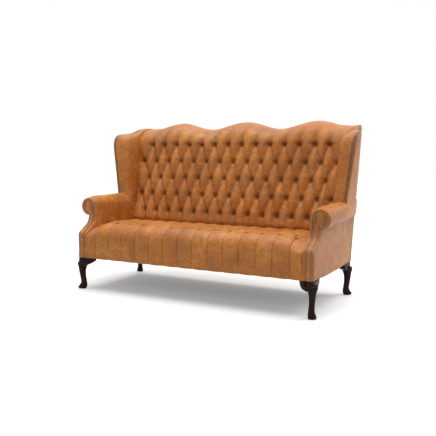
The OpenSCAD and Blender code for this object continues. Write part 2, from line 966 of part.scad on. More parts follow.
// Arm section in [x, z], smaller by depth all round; its upright side leans into the roll
join_z = scroll_z - 10;
join_a = 20;
module arm_section(depth, low_z) {
    r = scroll_r - depth;
    translate([scroll_x, scroll_z])
    circle(r = r, $fn = 96);
    polygon([
        [arm_in_x + depth, low_z],
        [scroll_x, low_z],
        [scroll_x, scroll_z],
        [scroll_x - r * cos(join_a), scroll_z + r * sin(join_a)],
        [arm_in_x + depth, join_z]
    ]);
}

module arm_run(depth, front_y, rear_depth) {
    difference() {
        translate([0, total_d, 0])
        rotate([90, 0, 0])
        linear_extrude(total_d - front_y)
        arm_section(depth, neck_z);
        behind(rear_depth);
    }
}

// The inner side of an arm below the scroll, following the swept front
module arm_side(x0, x1, shift, low_z) {
    difference() {
        side_plate(x0, x1, concat(
            facing_line(shift),
            [[rear_y(scroll_z), scroll_z], [rear_y(low_z), low_z]],
            [[board_back_y, low_z], [board_back_y, leg_h]]
        ));
        behind(panel_t);
        box([0, -total_d, join_z], [base_w, total_d, hump_h]);
    }
}

module arm_pad_right() {
    low_z = rail_top + panel_t;
    color(foam)
    difference() {
        union() {
            difference() {
                arm_run(panel_t, scroll_back_y, panel_t);
                roll_side(panel_t);
            }
            difference() {
                arm_side(arm_skin_x, rail_in_x, panel_t, low_z);
                board_outline();
                box([0, -total_d, 0], [base_w, total_d, low_z]);
            }
        }
        box([rail_in_x, -total_d, 0], [frame_x, total_d, wing_z]);
        arm_top_rail_space();
        post_space();
        web_space();
        wing_board_shape(trim_gap);
    }
}

module arm_pad_left() {
    mirror([1, 0, 0])
    arm_pad_right();
}

module wing_space() {
    difference() {
        children();
        translate([scroll_x, total_d, scroll_z])
        rotate([90, 0, 0])
        cylinder(h = 2 * total_d, r = scroll_r + trim_gap, $fn = 96);
        box([0, -total_d, 0], [base_w, total_d, wing_z]);
    }
}

// The end of the top rail, for the wing pieces that fit round it
module rail_end_space() {
    intersection() {
        behind(frame_front);
        box([0, -total_d, top_rail_z], [frame_x, total_d, shoulder_h - crest_pad]);
    }
}

module wing_pad_right() {
    color(foam)
    wing_space()
    difference() {
        intersection() {
            wing_body(wing_skin_t, panel_t);
            outer_space(panel_t);
        }
        wing_board_shape(0);
        post_space();
        web_space();
        rail_end_space();
    }
}

module wing_pad_left() {
    mirror([1, 0, 0])
    wing_pad_right();
}

// Leather covers
module seat_cover() {
    color(leather)
    skin(all_rings("seat"), [[for (i = [0 : len(seat_ring(0, false)) - 1]) i]], 0);
}

module back_cover() {
    n = len(back_ring(0, false));
    knee = 3;
    color(leather)
    skin(
        all_rings("back"),
        [
            concat([for (i = [0 : knee]) i], [n - 2, n - 1]),
            [for (i = [knee : n - 2]) i]
        ],
        1
    );
}

// Half round edge of the leather round the facing disc
module scroll_edge() {
    translate([scroll_x, scroll_board_y, scroll_z])
    rotate([90, 0, 0])
    rotate_extrude($fn = 96)
    polygon([
        for (a = [180 : -30 : 0])
        [facing_r + scroll_edge_r * (1 + cos(a)), scroll_edge_r * sin(a)]
    ]);
}

// The leather roll of an arm, open underneath and hollow for the pad
module arm_roll_cover() {
    difference() {
        arm_run(0, scroll_board_y, 0);
        difference() {
            arm_run(panel_t, scroll_back_y, panel_t);
            roll_side(panel_t);
        }
        roll_side(0);
        translate([scroll_x, scroll_back_y, scroll_z])
        rotate([90, 0, 0])
        cylinder(h = 2 * arm_board_t, r = facing_r, $fn = 64);
        box([arm_skin_x, -total_d, neck_z - scroll_r], [frame_x, total_d, join_z]);
    }
}

module arm_cover_right() {
    color(leather)
    difference() {
        union() {
            arm_roll_cover();
            arm_side(arm_in_x, arm_skin_x, panel_t, rail_top + panel_t);
            difference() {
                side_plate(arm_in_x, facing_in_x, swept_strip(0, panel_t));
                box([0, -total_d, join_z], [base_w, total_d, hump_h]);
            }
            scroll_edge();
        }
        facing_shape(scroll_edge_r);
        board_outline();
        box([0, rail_front_y, leg_h], [arm_skin_x, rail_back_y, rail_top]);
        box([arm_skin_x, -total_d, 0], [half_w, total_d, neck_z]);
        post_space();
        web_space();
        wing_board_shape(trim_gap);
        outside_back_cut();
    }
}

module arm_cover_left() {
    mirror([1, 0, 0])
    arm_cover_right();
}

// Space of the outside back, for the pieces that end against it
module outside_back_cut() {
    intersection() {
        behind(panel_t);
        box([0, -total_d, 0], [half_w, total_d, hump_h]);
    }
}

// Facing of an arm: a swept strip that widens into a disc on the scroll
module facing_shape(gap) {
    side_plate(facing_in_x, facing_out_x, swept_strip(-gap, panel_t));
    translate([0, scroll_board_y, 0])
    rotate([90, 0, 0])
    linear_extrude(panel_t + gap)
    union() {
        translate([scroll_x, scroll_z])
        circle(r = facing_r, $fn = 64);
        polygon([
            [facing_in_x, neck_z],
            [facing_out_x, neck_z],
            [scroll_x + facing_r * cos(50), scroll_z - facing_r * sin(50)],
            [facing_in_x + nail_edge, scroll_z]
        ]);
    }
}

module arm_facing_right() {
    color(leather)
    facing_shape(0);
}

module arm_facing_left() {
    mirror([1, 0, 0])
    arm_facing_right();
}

module outside_arm_panel_right() {
    color(leather)
    difference() {
        union() {
            difference() {
                side_plate(frame_x, half_w, concat(
                    facing_line(panel_t),
                    [[rear_y(scroll_z), scroll_z], [rear_y(leg_h), leg_h]]
                ));
                box([0, -total_d, scroll_z - scroll_r], [base_w, total_d, hump_h]);
            }
            difference() {
                side_plate(facing_out_x, half_w, swept_strip(0, panel_t));
                box([0, -total_d, scroll_z - scroll_r], [base_w, total_d, hump_h]);
            }
        }
        facing_shape(0);
        behind(panel_t);
    }
}

module outside_arm_panel_left() {
    mirror([1, 0, 0])
    outside_arm_panel_right();
}

module wing_cover_right() {
    color(leather)
    wing_space()
    difference() {
        intersection() {
            wing_body(0, panel_t);
            outer_space(0);
        }
        wing_body(wing_skin_t, 2 * panel_t);
        post_space();
        web_space();
        rail_end_space();
    }
}

module wing_cover_left() {
    mirror([1, 0, 0])
    wing_cover_right();
}

module outside_wing_panel_right() {
    color(leather)
    wing_space()
    intersection() {
        wing_body(wing_skin_t, panel_t);
        leaning_slab(panel_t, 0);
    }
}

module outside_wing_panel_left() {
    mirror([1, 0, 0])
    outside_wing_panel_right();
}

module outside_back_panel() {
    edge_x = inner_x(shoulder_h);
    end_z = shoulder_h - rear_lip;
    right_edge = [
        [edge_x, end_z],
        [edge_x, shoulder_h],
        [half_w, shoulder_h],
        [half_w, leg_h]
    ];
    color(leather)
    intersection() {
        back_slab(panel_t, 0, leg_h, hump_h);
        front_prism(concat(
            [for (p = reversed(right_edge)) [-p[0], p[1]]],
            [for (x = columns) [x, crest_z(x) - rear_lip]],
            right_edge
        ));
    }
}

module dust_cover() {
    notch = leg_block + trim_gap;
    rear = rear_y(leg_h);
    color(cloth)
    difference() {
        box(
            [dust_inset - half_w, facing_y + dust_inset, leg_h - dust_t],
            [half_w - dust_inset, rear - dust_inset, leg_h]
        );
        both_sides() {
            box([half_w - notch, facing_y - 1, 0], [base_w, facing_y + notch, leg_h + 1]);
            box([half_w - notch, rear - notch, 0], [base_w, rear + 1, leg_h + 1]);
        }
    }
}

// Covered buttons: a cone that sits down in the tuft, with a low dome on top
module button(crown) {
    pit = (pleat_share + (1 - pleat_share) * pow(0.5, tuft_power)) * crown * button_r
        / (tuft_p / 4);
    translate([0, 0, trim_gap])
    rotate_extrude($fn = 6)
    polygon([[0, 0], [button_r, pit], [0.6 * button_r, pit + button_dome], [0, pit + button_dome]]);
}

function button_xs(v) = [for (x = columns) if (on_button(x / tuft_p, v)) x];

module back_buttons() {
    color(leather_dark)
    for (v = [0 : back_rows - 1])
    for (x = button_xs(v))
    translate([x, button_y(back_row_z(v)), back_row_z(v)])
    rotate([90 - tuft_rake, 0, 0])
    button(back_crown);
}

module seat_buttons() {
    color(leather_dark)
    for (v = [0 : seat_rows - 1])
    for (x = button_xs(v))
    let (y = nose_y + v * seat_row_dy)
    translate([x, y, seat_z(y)])
    rotate([-seat_slope, 0, 0])
    button(seat_crown);
}

module nail() {
    cylinder(h = nail_dome, r1 = nail_r, r2 = nail_r / 2, $fn = 4);
}

// Nails on an upright run of the facing, at x, between the floor side and the scroll
module facing_nail_line(x) {
    line = [for (p = facing_line(0)) if (p[1] <= neck_z) p];
    for (place = places(line, nail_p))
    translate([x, place[0][0], place[0][1]])
    rotate([atan2(place[1][1], place[1][0]), 0, 0])
    translate([0, 0, trim_gap])
    nail();
}

module scroll_nails() {
    r = facing_r - nail_edge - nail_r / 2;
    low = [facing_out_x - nail_edge, neck_z];
    arc = [for (a = [-60 : 10 : 180]) [scroll_x + r * cos(a), scroll_z + r * sin(a)]];
    line = concat([low], arc, [[facing_in_x + nail_edge, neck_z]]);
    for (place = places(line, nail_p))
    translate([place[0][0], scroll_y - trim_gap, place[0][1]])
    rotate([90, 0, 0])
    nail();
}

module facing_nails_right() {
    color(pewter) {
        facing_nail_line(facing_in_x + nail_edge);
        facing_nail_line(facing_out_x - nail_edge);
        scroll_nails();
    }
}

module facing_nails_left() {
    mirror([1, 0, 0])
    facing_nails_right();
}

module wing_nails_right() {
    color(pewter)
    for (place = places(wing_curve, nail_p))
    let (y = place[0][0], z = place[0][1])
    translate([min(outer_x(z), taper_x(y, z)) - wing_nail_inset, y, z])
    rotate([atan2(place[1][1], place[1][0]), 0, 0])
    translate([0, 0, trim_gap])
    nail();
}

module wing_nails_left() {
    mirror([1, 0, 0])
    wing_nails_right();
}

// Cabriole leg, drawn at the front right corner with its outer corner at the origin.
// Each step is height, place of the middle along the diagonal, radius and squareness.
knee_top = leg_h - leg_block_h;
leg_steps = [
    [glide_t, -27, foot_r - 4, 2],
    [glide_t + 6, -27, foot_r, 2],
    [glide_t + 18, -27, foot_r - 1, 2],
    [glide_t + 31, -34, foot_r - 7, 2],
    [glide_t + 46, -38, ankle_r + 0.5, 2],
    [glide_t + 74, -37, ankle_r, 2],
    [glide_t + 106, -32, ankle_r + 4, 2],
    [glide_t + 134, -31, ankle_r + 10, 2.4],
    [glide_t + 158, -38, leg_block / 2 - 0.5, 3.4],
    [knee_top, -leg_block / sqrt(2), leg_block / 2, 8]
];
leg_sides = 16;
function leg_ring(step) =
    let (d = step[1] / sqrt(2))
    [
        for (i = [0 : leg_sides - 1])
        let (
            a = -360 * (i + 0.5) / leg_sides,
            c = cos(a),
            s = sin(a),
            r = step[2] / pow(pow(abs(c), step[3]) + pow(abs(s), step[3]), 1 / step[3])
        )
        [d + r * c, -d + r * s, step[0]]
    ];

module leg(bolt) {
    difference() {
        union() {
            skin([for (step = leg_steps) leg_ring(step)], [[for (i = [0 : leg_sides - 1]) i]]);
            box([-leg_block, 0, knee_top], [0, leg_block, leg_h]);
        }
        translate([bolt[0], bolt[1], leg_h - bolt_depth])
        cylinder(h = 2 * bolt_depth, r = bolt_r + bolt_gap, $fn = 32);
    }
}

module leg_front_right() {
    color(mahogany)
    translate([half_w, facing_y, 0])
    leg([bolt_x - half_w, front_bolt_y - facing_y]);
}

module leg_front_left() {
    mirror([1, 0, 0])
    leg_front_right();
}

module leg_rear_right() {
    color(mahogany)
    translate([half_w, rear_y(leg_h), 0])
    mirror([0, 1, 0])
    leg([bolt_x - half_w, rear_y(leg_h) - rear_bolt_y]);
}

module leg_rear_left() {
    mirror([1, 0, 0])
    leg_rear_right();
}

// Knee bracket of the given length along the x axis, with its thick end at the origin
module bracket(length) {
    steps = 6;
    translate([0, bracket_t, 0])
    rotate([90, 0, 0])
    linear_extrude(bracket_t)
    polygon(concat(
        [[0, leg_h], [-length, leg_h]],
        [
            for (k = [0 : steps])
            let (t = k / steps)
            [
                -length * (1 - t),
                leg_h - bracket_tip - (leg_block_h - bracket_tip) * (1 - cos(90 * t))
            ]
        ]
    ));
}

module bracket_pair() {
    translate([-leg_block, 0, 0])
    bracket(bracket_l);
    translate([0, leg_block, 0])
    rotate([0, 0, -90])
    translate([0, -bracket_t, 0])
    bracket(side_bracket_l);
}

module knee_brackets() {
    color(mahogany)
    both_sides() {
        translate([half_w, facing_y, 0])
        bracket_pair();
        translate([half_w, rear_y(leg_h), 0])
        mirror([0, 1, 0])
        bracket_pair();
    }
}

module leg_bolt(y) {
    translate([bolt_x, y, leg_h - bolt_depth])
    cylinder(h = bolt_depth + corner_h + 2 * nut_h, r = bolt_r, $fn = 32);
    translate([bolt_x, y, leg_h + corner_h])
    cylinder(h = nut_h, r = nut_r, $fn = 6);
}

module leg_bolts() {
    color(steel)
    both_sides() {
        leg_bolt(front_bolt_y);
        leg_bolt(rear_bolt_y);
    }
}

foot_in = -leg_steps[0][1] / sqrt(2);
module foot_glides() {
    color(cloth)
    both_sides()
    for (y = [facing_y + foot_in, rear_y(leg_h) - foot_in])
    translate([half_w - foot_in, y, 0])
    cylinder(h = glide_t, r = glide_r, $fn = 48);
}

front_seat_rail();
rear_seat_rail();
seat_side_rail_left();
seat_side_rail_right();
seat_cross_rails();
corner_blocks();
back_post_left();
back_post_right();
back_centre_posts();
back_top_rail();
back_lower_rail();
arm_front_board_left();
arm_front_board_right();
arm_top_rail_left();
arm_top_rail_right();
arm_tacking_rail_left();
arm_tacking_rail_right();
wing_board_left();
wing_board_right();
seat_springs();
spring_clips();
seat_hessian();
back_webbing();
seat_foam();
back_foam();
arm_pad_left();
arm_pad_right();
wing_pad_left();
wing_pad_right();
seat_cover();
back_cover();
arm_cover_left();
arm_cover_right();
arm_facing_left();
arm_facing_right();
outside_arm_panel_left();
outside_arm_panel_right();
wing_cover_left();
wing_cover_right();
outside_wing_panel_left();
outside_wing_panel_right();
outside_back_panel();
dust_cover();
back_buttons();
seat_buttons();
facing_nails_left();
facing_nails_right();
wing_nails_left();
wing_nails_right();
leg_front_left();
leg_front_right();
leg_rear_left();
leg_rear_right();
knee_brackets();
leg_bolts();
foot_glides();
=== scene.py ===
# Three-seater wing sofa in tan waxed leather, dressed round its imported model
import bmesh
import bpy
import json
import math
import numpy as np
from mathutils import Matrix, Vector


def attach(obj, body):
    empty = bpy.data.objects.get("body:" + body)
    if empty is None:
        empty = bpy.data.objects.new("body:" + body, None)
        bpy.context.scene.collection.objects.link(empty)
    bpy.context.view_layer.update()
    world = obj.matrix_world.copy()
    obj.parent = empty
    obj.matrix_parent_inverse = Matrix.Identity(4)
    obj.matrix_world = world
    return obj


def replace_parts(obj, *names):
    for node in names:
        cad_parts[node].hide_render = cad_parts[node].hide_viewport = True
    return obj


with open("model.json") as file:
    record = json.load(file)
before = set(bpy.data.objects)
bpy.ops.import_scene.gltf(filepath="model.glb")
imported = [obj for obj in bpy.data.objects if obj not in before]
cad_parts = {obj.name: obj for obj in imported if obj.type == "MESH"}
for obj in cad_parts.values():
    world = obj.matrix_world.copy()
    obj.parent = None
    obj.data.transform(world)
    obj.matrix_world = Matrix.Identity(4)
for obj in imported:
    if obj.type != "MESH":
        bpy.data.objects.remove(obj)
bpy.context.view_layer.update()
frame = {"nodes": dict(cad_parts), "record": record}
nodes = frame["nodes"]
bpy.ops.object.select_all(action="DESELECT")
print("frame loaded:", len(nodes), "nodes")

# Main measures in metres and degrees, shared by every piece
sofa = {
    "halfWidth": 0.877,  # to the outside arm panels
    "armInner": 0.805, "hem": 0.226,
    "seamFront": -0.466,  # front of the seat at its seams
    "facingFront": -0.470, "hump": 1.193, "valley": 1.140,
    "shoulder": 1.152,  # where the crest meets a wing
    "humpAt": 0.564, "valleyAt": 0.288, "rearEdgeY": 0.480, "rearEdgeZ": 1.179,
    "rearRake": 12.1, "tuftRake": 15.15,
    "topRow": 1.018,  # heights of the top and the lowest buttons of the back
    "lowRow": 0.525, "backThick": 0.174,
    "columns": 14.44,  # button pitches from arm to arm
    "rollX": 0.873, "rollZ": 0.580,
    "neck": 0.518,  # where the scroll of an arm begins
    "wingLeanOut": 0.125, "wingLeanIn": 0.1, "wingFlare": 0.375, "wingTaper": 0.28,
    "wingFront": 0.038, "wingFoot": 0.600,
}
# The ones that are used most, by their own names
halfWidth, armInner, hem, facingFront, shoulder = (
    sofa[key] for key in ("halfWidth", "armInner", "hem", "facingFront", "shoulder"))
topRow, rollX, rollZ, neck, wingFront = (sofa[key] for key in ("topRow", "rollX", "rollZ", "neck", "wingFront"))
sides = (("left", -1), ("right", 1))
endColumn = sofa["columns"] / 2
pitch = 2 * armInner / sofa["columns"]
rowDrop = (topRow - sofa["lowRow"]) / 4
wingKnee = topRow - 3 * rowDrop  # above it the wings lean
rake = math.radians(sofa["tuftRake"])
rowStep = rowDrop / math.cos(rake)

def rearY(z):
    return sofa["rearEdgeY"] - math.tan(math.radians(sofa["rearRake"])) * (sofa["rearEdgeZ"] - z)

def tuftY(z):
    return rearY(topRow) - sofa["backThick"] + math.tan(rake) * (z - topRow)

def softMin(first, second, bend=0.003):
    # The smaller of two distances, with a round bend where they cross
    return -bend * np.logaddexp(-first / bend, -second / bend)

def innerX(z):
    return armInner + sofa["wingLeanIn"] * np.maximum(0, z - wingKnee)

def outerX(y, z):
    # Outer face of a wing: it leans out, and comes in to the outside back
    lean = halfWidth + sofa["wingLeanOut"] * (z - sofa["wingFlare"])
    taper = halfWidth + sofa["wingTaper"] * np.maximum(0, rearY(z) - y)
    return softMin(lean, taper)

def halfWave(t):
    return (1 - np.cos(np.pi * np.clip(t, 0, 1))) / 2

def ease(t):
    t = np.clip(t, 0, 1)
    return t * t * (3 - 2 * t)

def bezier(t, a, b, c, d):
    return (1 - t) ** 3 * a + 3 * (1 - t) ** 2 * t * b + 3 * (1 - t) * t * t * c + t ** 3 * d

def crestZ(x):
    a = np.abs(x)
    rise, fall = sofa["hump"] - sofa["valley"], sofa["hump"] - shoulder
    inner = sofa["hump"] - rise * halfWave(a / sofa["valleyAt"])
    middle = sofa["valley"] + rise * halfWave((a - sofa["valleyAt"]) / (sofa["humpAt"] - sofa["valleyAt"]))
    outer = sofa["hump"] - fall * halfWave((a - sofa["humpAt"]) / (armInner - sofa["humpAt"]))
    return np.where(a < sofa["valleyAt"], inner, np.where(a < sofa["humpAt"], middle, outer))

def softNoise(points, scale, seed):
    # A few crossed waves, the same on every run, for the small unevenness of real leather
    rng = np.random.default_rng(seed)
    total = np.zeros(points.shape[:-1])
    for _ in range(9):
        way = rng.normal(size=3)
        way *= scale * rng.uniform(0.6, 1.7) / np.linalg.norm(way)
        total += np.sin(points @ way + rng.uniform(0, 6.28))
    return total / 4

def pointsOf(*parts):
    return np.stack(np.broadcast_arrays(*parts), -1)

def roughen(rings, look, shown, axis, scale, seed):
    rings[:, shown, axis] += look["uneven"] * softNoise(rings[:, shown], scale, seed)

def lengthsAlong(line):
    return np.r_[0, np.cumsum(np.linalg.norm(np.diff(line, axis=0), axis=1))]

def pointsAt(line, lengths, at):
    return pointsOf(*(np.interp(at, lengths, row) for row in line.T))

def directions(line):
    along = np.gradient(line, axis=0)
    return along / np.linalg.norm(along, axis=1, keepdims=True)

def bell(distance, width):
    return np.exp(-((distance / width) ** 2))

def onScroll(radius, turns):
    return pointsOf(rollX + radius * np.cos(turns), rollZ + radius * np.sin(turns))

def addObject(name, data, place=(0, 0, 0), turn=(0, 0, 0)):
    thing = bpy.data.objects.new(name, data)
    thing.location = place
    thing.rotation_euler = turn
    bpy.context.scene.collection.objects.link(thing)
    return thing


# Camera: the photograph's angle, solved from the nails, seams, buttons and feet
view = {
    "place": (2.070, -3.844, 0.993), "turn": 28.35, "down": 6.355, "lens": 51.36,
    "sensor": 36,
}
cameraData = bpy.data.cameras.new("photoCamera")
cameraData.lens = view["lens"]
cameraData.sensor_width = view["sensor"]
aim = (math.radians(90 - view["down"]), 0, math.radians(view["turn"]))
bpy.context.scene.camera = addObject("photoCamera", cameraData, view["place"], aim)
print("camera set")


# Materials
def newMaterial(name):
    material = bpy.data.materials.new(name)
    material.use_nodes = True
    tree = material.node_tree
    tree.nodes.clear()
    out = tree.nodes.new("ShaderNodeOutputMaterial")
    shader = tree.nodes.new("ShaderNodeBsdfPrincipled")
    tree.links.new(shader.outputs[0], out.inputs[0])
    return material, tree, shader

def objectPlace(tree):
    return tree.nodes.new("ShaderNodeTexCoord").outputs["Object"]

def setInputs(node, values):
    for key, value in values.items():
        node.inputs[key].default_value = value

def addNode(tree, kind, values=None, links=None, **settings):
    node = tree.nodes.new(kind)
    for key, value in settings.items():
        setattr(node, key, value)
    setInputs(node, values or {})
    for key, source in (links or {}).items():
        tree.links.new(source, node.inputs[key])
    return node

def noise(tree, place, scale, detail, roughness=0.5, distortion=0.0, output="Fac"):
    values = {"Scale": scale, "Detail": detail, "Roughness": roughness, "Distortion": distortion}
    return addNode(tree, "ShaderNodeTexNoise", values, {"Vector": place}).outputs[output]

def combine(tree, operation, first, second):
    return addNode(tree, "ShaderNodeMath", links={0: first, 1: second}, operation=operation).outputs[0]

def colour(red, green, blue):
    def linear(value):
        value /= 255
        return value / 12.92 if value <= 0.04045 else ((value + 0.055) / 1.055) ** 2.4
    return (linear(red), linear(green), linear(blue), 1)

def ramp(tree, source, stops):
    node = addNode(tree, "ShaderNodeValToRGB", links={0: source})
    band = node.color_ramp
    while len(band.elements) < len(stops):
        band.elements.new(0.5)
    for element, (place, value) in zip(band.elements, stops):
        element.position = place
        element.color = value
    return node.outputs[0]

def grey(value):
    return (value, value, value, 1)

def blendColour(tree, amount, first, second, mode="MIX"):
    # A number or colour is set on its socket, anything else is linked to it
    node = addNode(tree, "ShaderNodeMix", data_type="RGBA", blend_type=mode)
    for index, item in ((0, amount), (6, first), (7, second)):
        if isinstance(item, (float, int, tuple)):
            node.inputs[index].default_value = item
        else:
            tree.links.new(item, node.inputs[index])
    return node.outputs[2]

def bump(tree, shader, height, strength, distance, under=None):
    links = {"Height": height}
    if under is not None:
        links["Normal"] = under
    node = addNode(tree, "ShaderNodeBump", {"Strength": strength, "Distance": distance}, links)
    tree.links.new(node.outputs[0], shader.inputs["Normal"])
    return node.outputs[0]


leatherLook = {
    "deep": colour(142, 86, 36),
    "base": colour(188, 119, 52),
    "warm": colour(202, 132, 64),
    "vein": colour(232, 164, 98),
    # The dark brown of the painted shade in dimples, folds and creases
    "paintedShadeColour": colour(58, 30, 14),
    "orange": (1.04, 0.98, 0.78, 1),  # the two tones that the colour drifts between
    "rosy": (0.9, 0.9, 1.16, 1), "deepShare": 0.38, "spots": 0.75,
    "cloudScale": 5.0, "mottleScale": 38.0, "driftScale": 7.5, "veinScale": 17.0,
    "veinBend": 0.16, "grainScale": 620.0, "foldScale": 46.0,
    "roughness": (0.34, 0.5),
    "shine": {"Specular IOR Level": 0.26, "Coat Weight": 0.04, "Coat Roughness": 0.35},
}

def leatherMaterial(name, shadeTint=1.0):
    look = leatherLook
    material, tree, shader = newMaterial(name)
    place = objectPlace(tree)
    cloud = noise(tree, place, look["cloudScale"], 6.0, 0.62, 0.4)
    mottle = noise(tree, place, look["mottleScale"], 5.0, 0.7, 0.8)
    bent = noise(tree, place, 9.0, 3.0, output="Color")
    shift = addNode(tree, "ShaderNodeVectorMath", {1: (look["veinBend"],) * 3}, {0: bent}, operation="MULTIPLY")
    moved = addNode(tree, "ShaderNodeVectorMath", links={0: place, 1: shift.outputs[0]}, operation="ADD")
    bentPlace = moved.outputs[0]
    # Broad clouds, small spots and a slow drift from orange to rosy
    low = tuple(b + look["deepShare"] * (d - b) for b, d in zip(look["base"], look["deep"]))
    body = ramp(tree, cloud, [(0.28, low), (0.5, look["base"]), (0.72, look["warm"])])
    spots = ramp(tree, mottle, [(0.36, (0.74, 0.7, 0.66, 1)), (0.52, grey(1)), (0.7, (1.12, 1.1, 1.08, 1))])
    body = blendColour(tree, look["spots"], body, spots, "MULTIPLY")
    drift = noise(tree, bentPlace, look["driftScale"], 5.0, 0.6, 0.9)
    hue = ramp(tree, drift, [(0.4, look["orange"]), (0.6, look["rosy"])])
    body = blendColour(tree, 1.0, body, hue, "MULTIPLY")
    # Pale veins in the lighter clouds, and a dark brown painted shade where the mesh's shade attribute is high: in
    # dimples, folds, creases and along nail lines
    veins = addNode(
        tree, "ShaderNodeTexVoronoi", {"Scale": look["veinScale"]}, {"Vector": bentPlace}, feature="DISTANCE_TO_EDGE")
    line = ramp(tree, veins.outputs["Distance"], [(0.0, grey(0.5)), (0.05, grey(0.12)), (0.16, grey(0))])
    patchy = ramp(tree, cloud, [(0.42, grey(0)), (0.62, grey(1))])
    body = blendColour(tree, combine(tree, "MULTIPLY", line, patchy), body, look["vein"])
    shadeMask = addNode(tree, "ShaderNodeAttribute", attribute_name="paintedShade").outputs["Fac"]
    body = blendColour(tree, shadeMask, body, look["paintedShadeColour"])
    # A darker copy of the leather, as painted shade
    if shadeTint != 1.0:
        body = blendColour(tree, 1.0, body, grey(shadeTint), "MULTIPLY")
    tree.links.new(body, shader.inputs["Base Color"])
    smooth, rough = look["roughness"]
    limits = {"From Min": 0.3, "From Max": 0.7, "To Min": smooth, "To Max": rough}
    sheen = addNode(tree, "ShaderNodeMapRange", limits, {"Value": mottle})
    tree.links.new(sheen.outputs[0], shader.inputs["Roughness"])
    setInputs(shader, look["shine"])
    grain = addNode(tree, "ShaderNodeTexVoronoi", {"Scale": look["grainScale"]}, {"Vector": place})
    folds = noise(tree, place, look["foldScale"], 4.0, 0.6, 1.4)
    first = bump(tree, shader, folds, 0.35, 0.004)
    bump(tree, shader, grain.outputs["Distance"], 0.3, 0.0006, first)
    return material

def patternMaterial(name, pattern, stops, values, strength, depth):
    # The pattern gives the source of the colour and that of the relief
    material, tree, shader = newMaterial(name)
    tone, relief = pattern(tree, objectPlace(tree))
    tree.links.new(ramp(tree, tone, stops), shader.inputs["Base Color"])
    setInputs(shader, values)
    bump(tree, shader, relief, strength, depth)
    return material

def woodMaterial(name, dark, light, roughness, coat):
    def pattern(tree, place):
        stretched = addNode(tree, "ShaderNodeMapping", {"Scale": (6.0, 6.0, 1.2)}, {"Vector": place}).outputs[0]
        return noise(tree, stretched, 9.0, 8.0, 0.65, 1.6), noise(tree, stretched, 90.0, 3.0)
    values = {"Roughness": roughness, "Coat Weight": coat, "Coat Roughness": 0.05, "Specular IOR Level": 0.02}
    return patternMaterial(name, pattern, [(0.34, dark), (0.66, light)], values, 0.12, 0.0008)

def weaveMaterial(name, dark, light, scale, roughness):
    def pattern(tree, place):
        values = {"Scale": scale, "Distortion": 0.6}
        waves = [
            addNode(tree, "ShaderNodeTexWave", values, {"Vector": place}, bands_direction=axis).outputs["Fac"]
            for axis in "XY"]
        return [combine(tree, "MULTIPLY", *waves)] * 2
    values = {"Roughness": roughness, "Sheen Weight": 0.2}
    return patternMaterial(name, pattern, [(0.1, dark), (0.8, light)], values, 0.4, 0.0008)

def speckledMaterial(name, scale, detail, stops, metallic, roughness, strength, depth):
    def pattern(tree, place):
        return [noise(tree, place, scale, detail)] * 2
    return patternMaterial(name, pattern, stops, {"Metallic": metallic, "Roughness": roughness}, strength, depth)

def metalMaterial(name, dark, light, roughness):
    return speckledMaterial(name, 160.0, 4.0, [(0.35, dark), (0.65, light)], 0.9, roughness, 0.15, 0.0005)


foamTones = [(0.3, colour(205, 190, 140)), (0.7, colour(240, 230, 198))]
slotLooks = {
    "leather": leatherMaterial("tanWaxedLeather"),
    # The buttons are a darker copy of the same leather, painted shade for their place sunk in the dimples
    "leather_dark": leatherMaterial("buttonLeatherShaded", 0.3),
    "mahogany": woodMaterial("darkMahogany", colour(22, 4, 2), colour(42, 9, 5), 0.3, 0.2),
    "timber": woodMaterial("planedBeech", colour(190, 150, 98), colour(222, 190, 140), 0.6, 0.0),
    "pewter": metalMaterial("antiquePewter", colour(50, 56, 66), colour(128, 136, 148), 0.3),
    "steel": metalMaterial("springSteel", colour(110, 112, 116), colour(150, 152, 156), 0.3),
    "cloth": weaveMaterial("blackDustCloth", colour(20, 20, 22), colour(52, 52, 54), 260.0, 0.95),
    "hessian": weaveMaterial("juteHessian", colour(120, 92, 52), colour(196, 166, 112), 160.0, 0.9),
    "foam": speckledMaterial("creamFoam", 240.0, 3.0, foamTones, 0.0, 0.95, 0.5, 0.001),
}
for part in frame["record"]["subparts"]:
    mesh = nodes[part["node"]].data
    mesh.materials.clear()
    mesh.materials.append(slotLooks[part["material_slot"]])
print("materials made")


# Making pieces
def finishedPiece(name, bm, slotName, sharpAngle=None):
    bmesh.ops.recalc_face_normals(bm, faces=bm.faces)
    for face in bm.faces:
        face.smooth = True
    mesh = bpy.data.meshes.new(name)
    bm.to_mesh(mesh)
    bm.free()
    mesh.materials.append(slotLooks[slotName])
    piece = addObject(name, mesh)
    if sharpAngle is not None:
        bpy.ops.object.select_all(action="DESELECT")
        piece.select_set(True)
        bpy.context.view_layer.objects.active = piece
        bpy.ops.object.shade_smooth_by_angle(angle=math.radians(sharpAngle))
    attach(piece, "root")
    return piece

def paddedPiece(name, rings, paintedShade, replaced, air=None):
    # A closed form of leather from rings of points, one behind the other
    count, size = rings.shape[:2]
    k, j = np.meshgrid(np.arange(count - 1), np.arange(size), indexing="ij")
    nextJ = (j + 1) % size
    quads = pointsOf(k * size + j, k * size + nextJ, (k + 1) * size + nextJ, (k + 1) * size + j)
    ends = [list(range(size - 1, -1, -1)), list(range((count - 1) * size, count * size))]
    draft = bpy.data.meshes.new("draft")
    draft.from_pydata(rings.reshape(-1, 3).tolist(), [], quads.reshape(-1, 4).tolist() + ends)
    # Each point's painted shade is stored in a mesh attribute for the leather
    shadeMask = draft.attributes.new("paintedShade", "FLOAT", "POINT")
    if paintedShade is not None:
        shadeMask.data.foreach_set("value", np.clip(paintedShade, 0, 1).astype(np.float32).ravel())
    bm = bmesh.new()
    bm.from_mesh(draft)
    bpy.data.meshes.remove(draft)
    piece = finishedPiece(name, bm, "leather")
    if air:
        inflate(piece, rings.shape, *air)
    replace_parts(piece, *replaced)

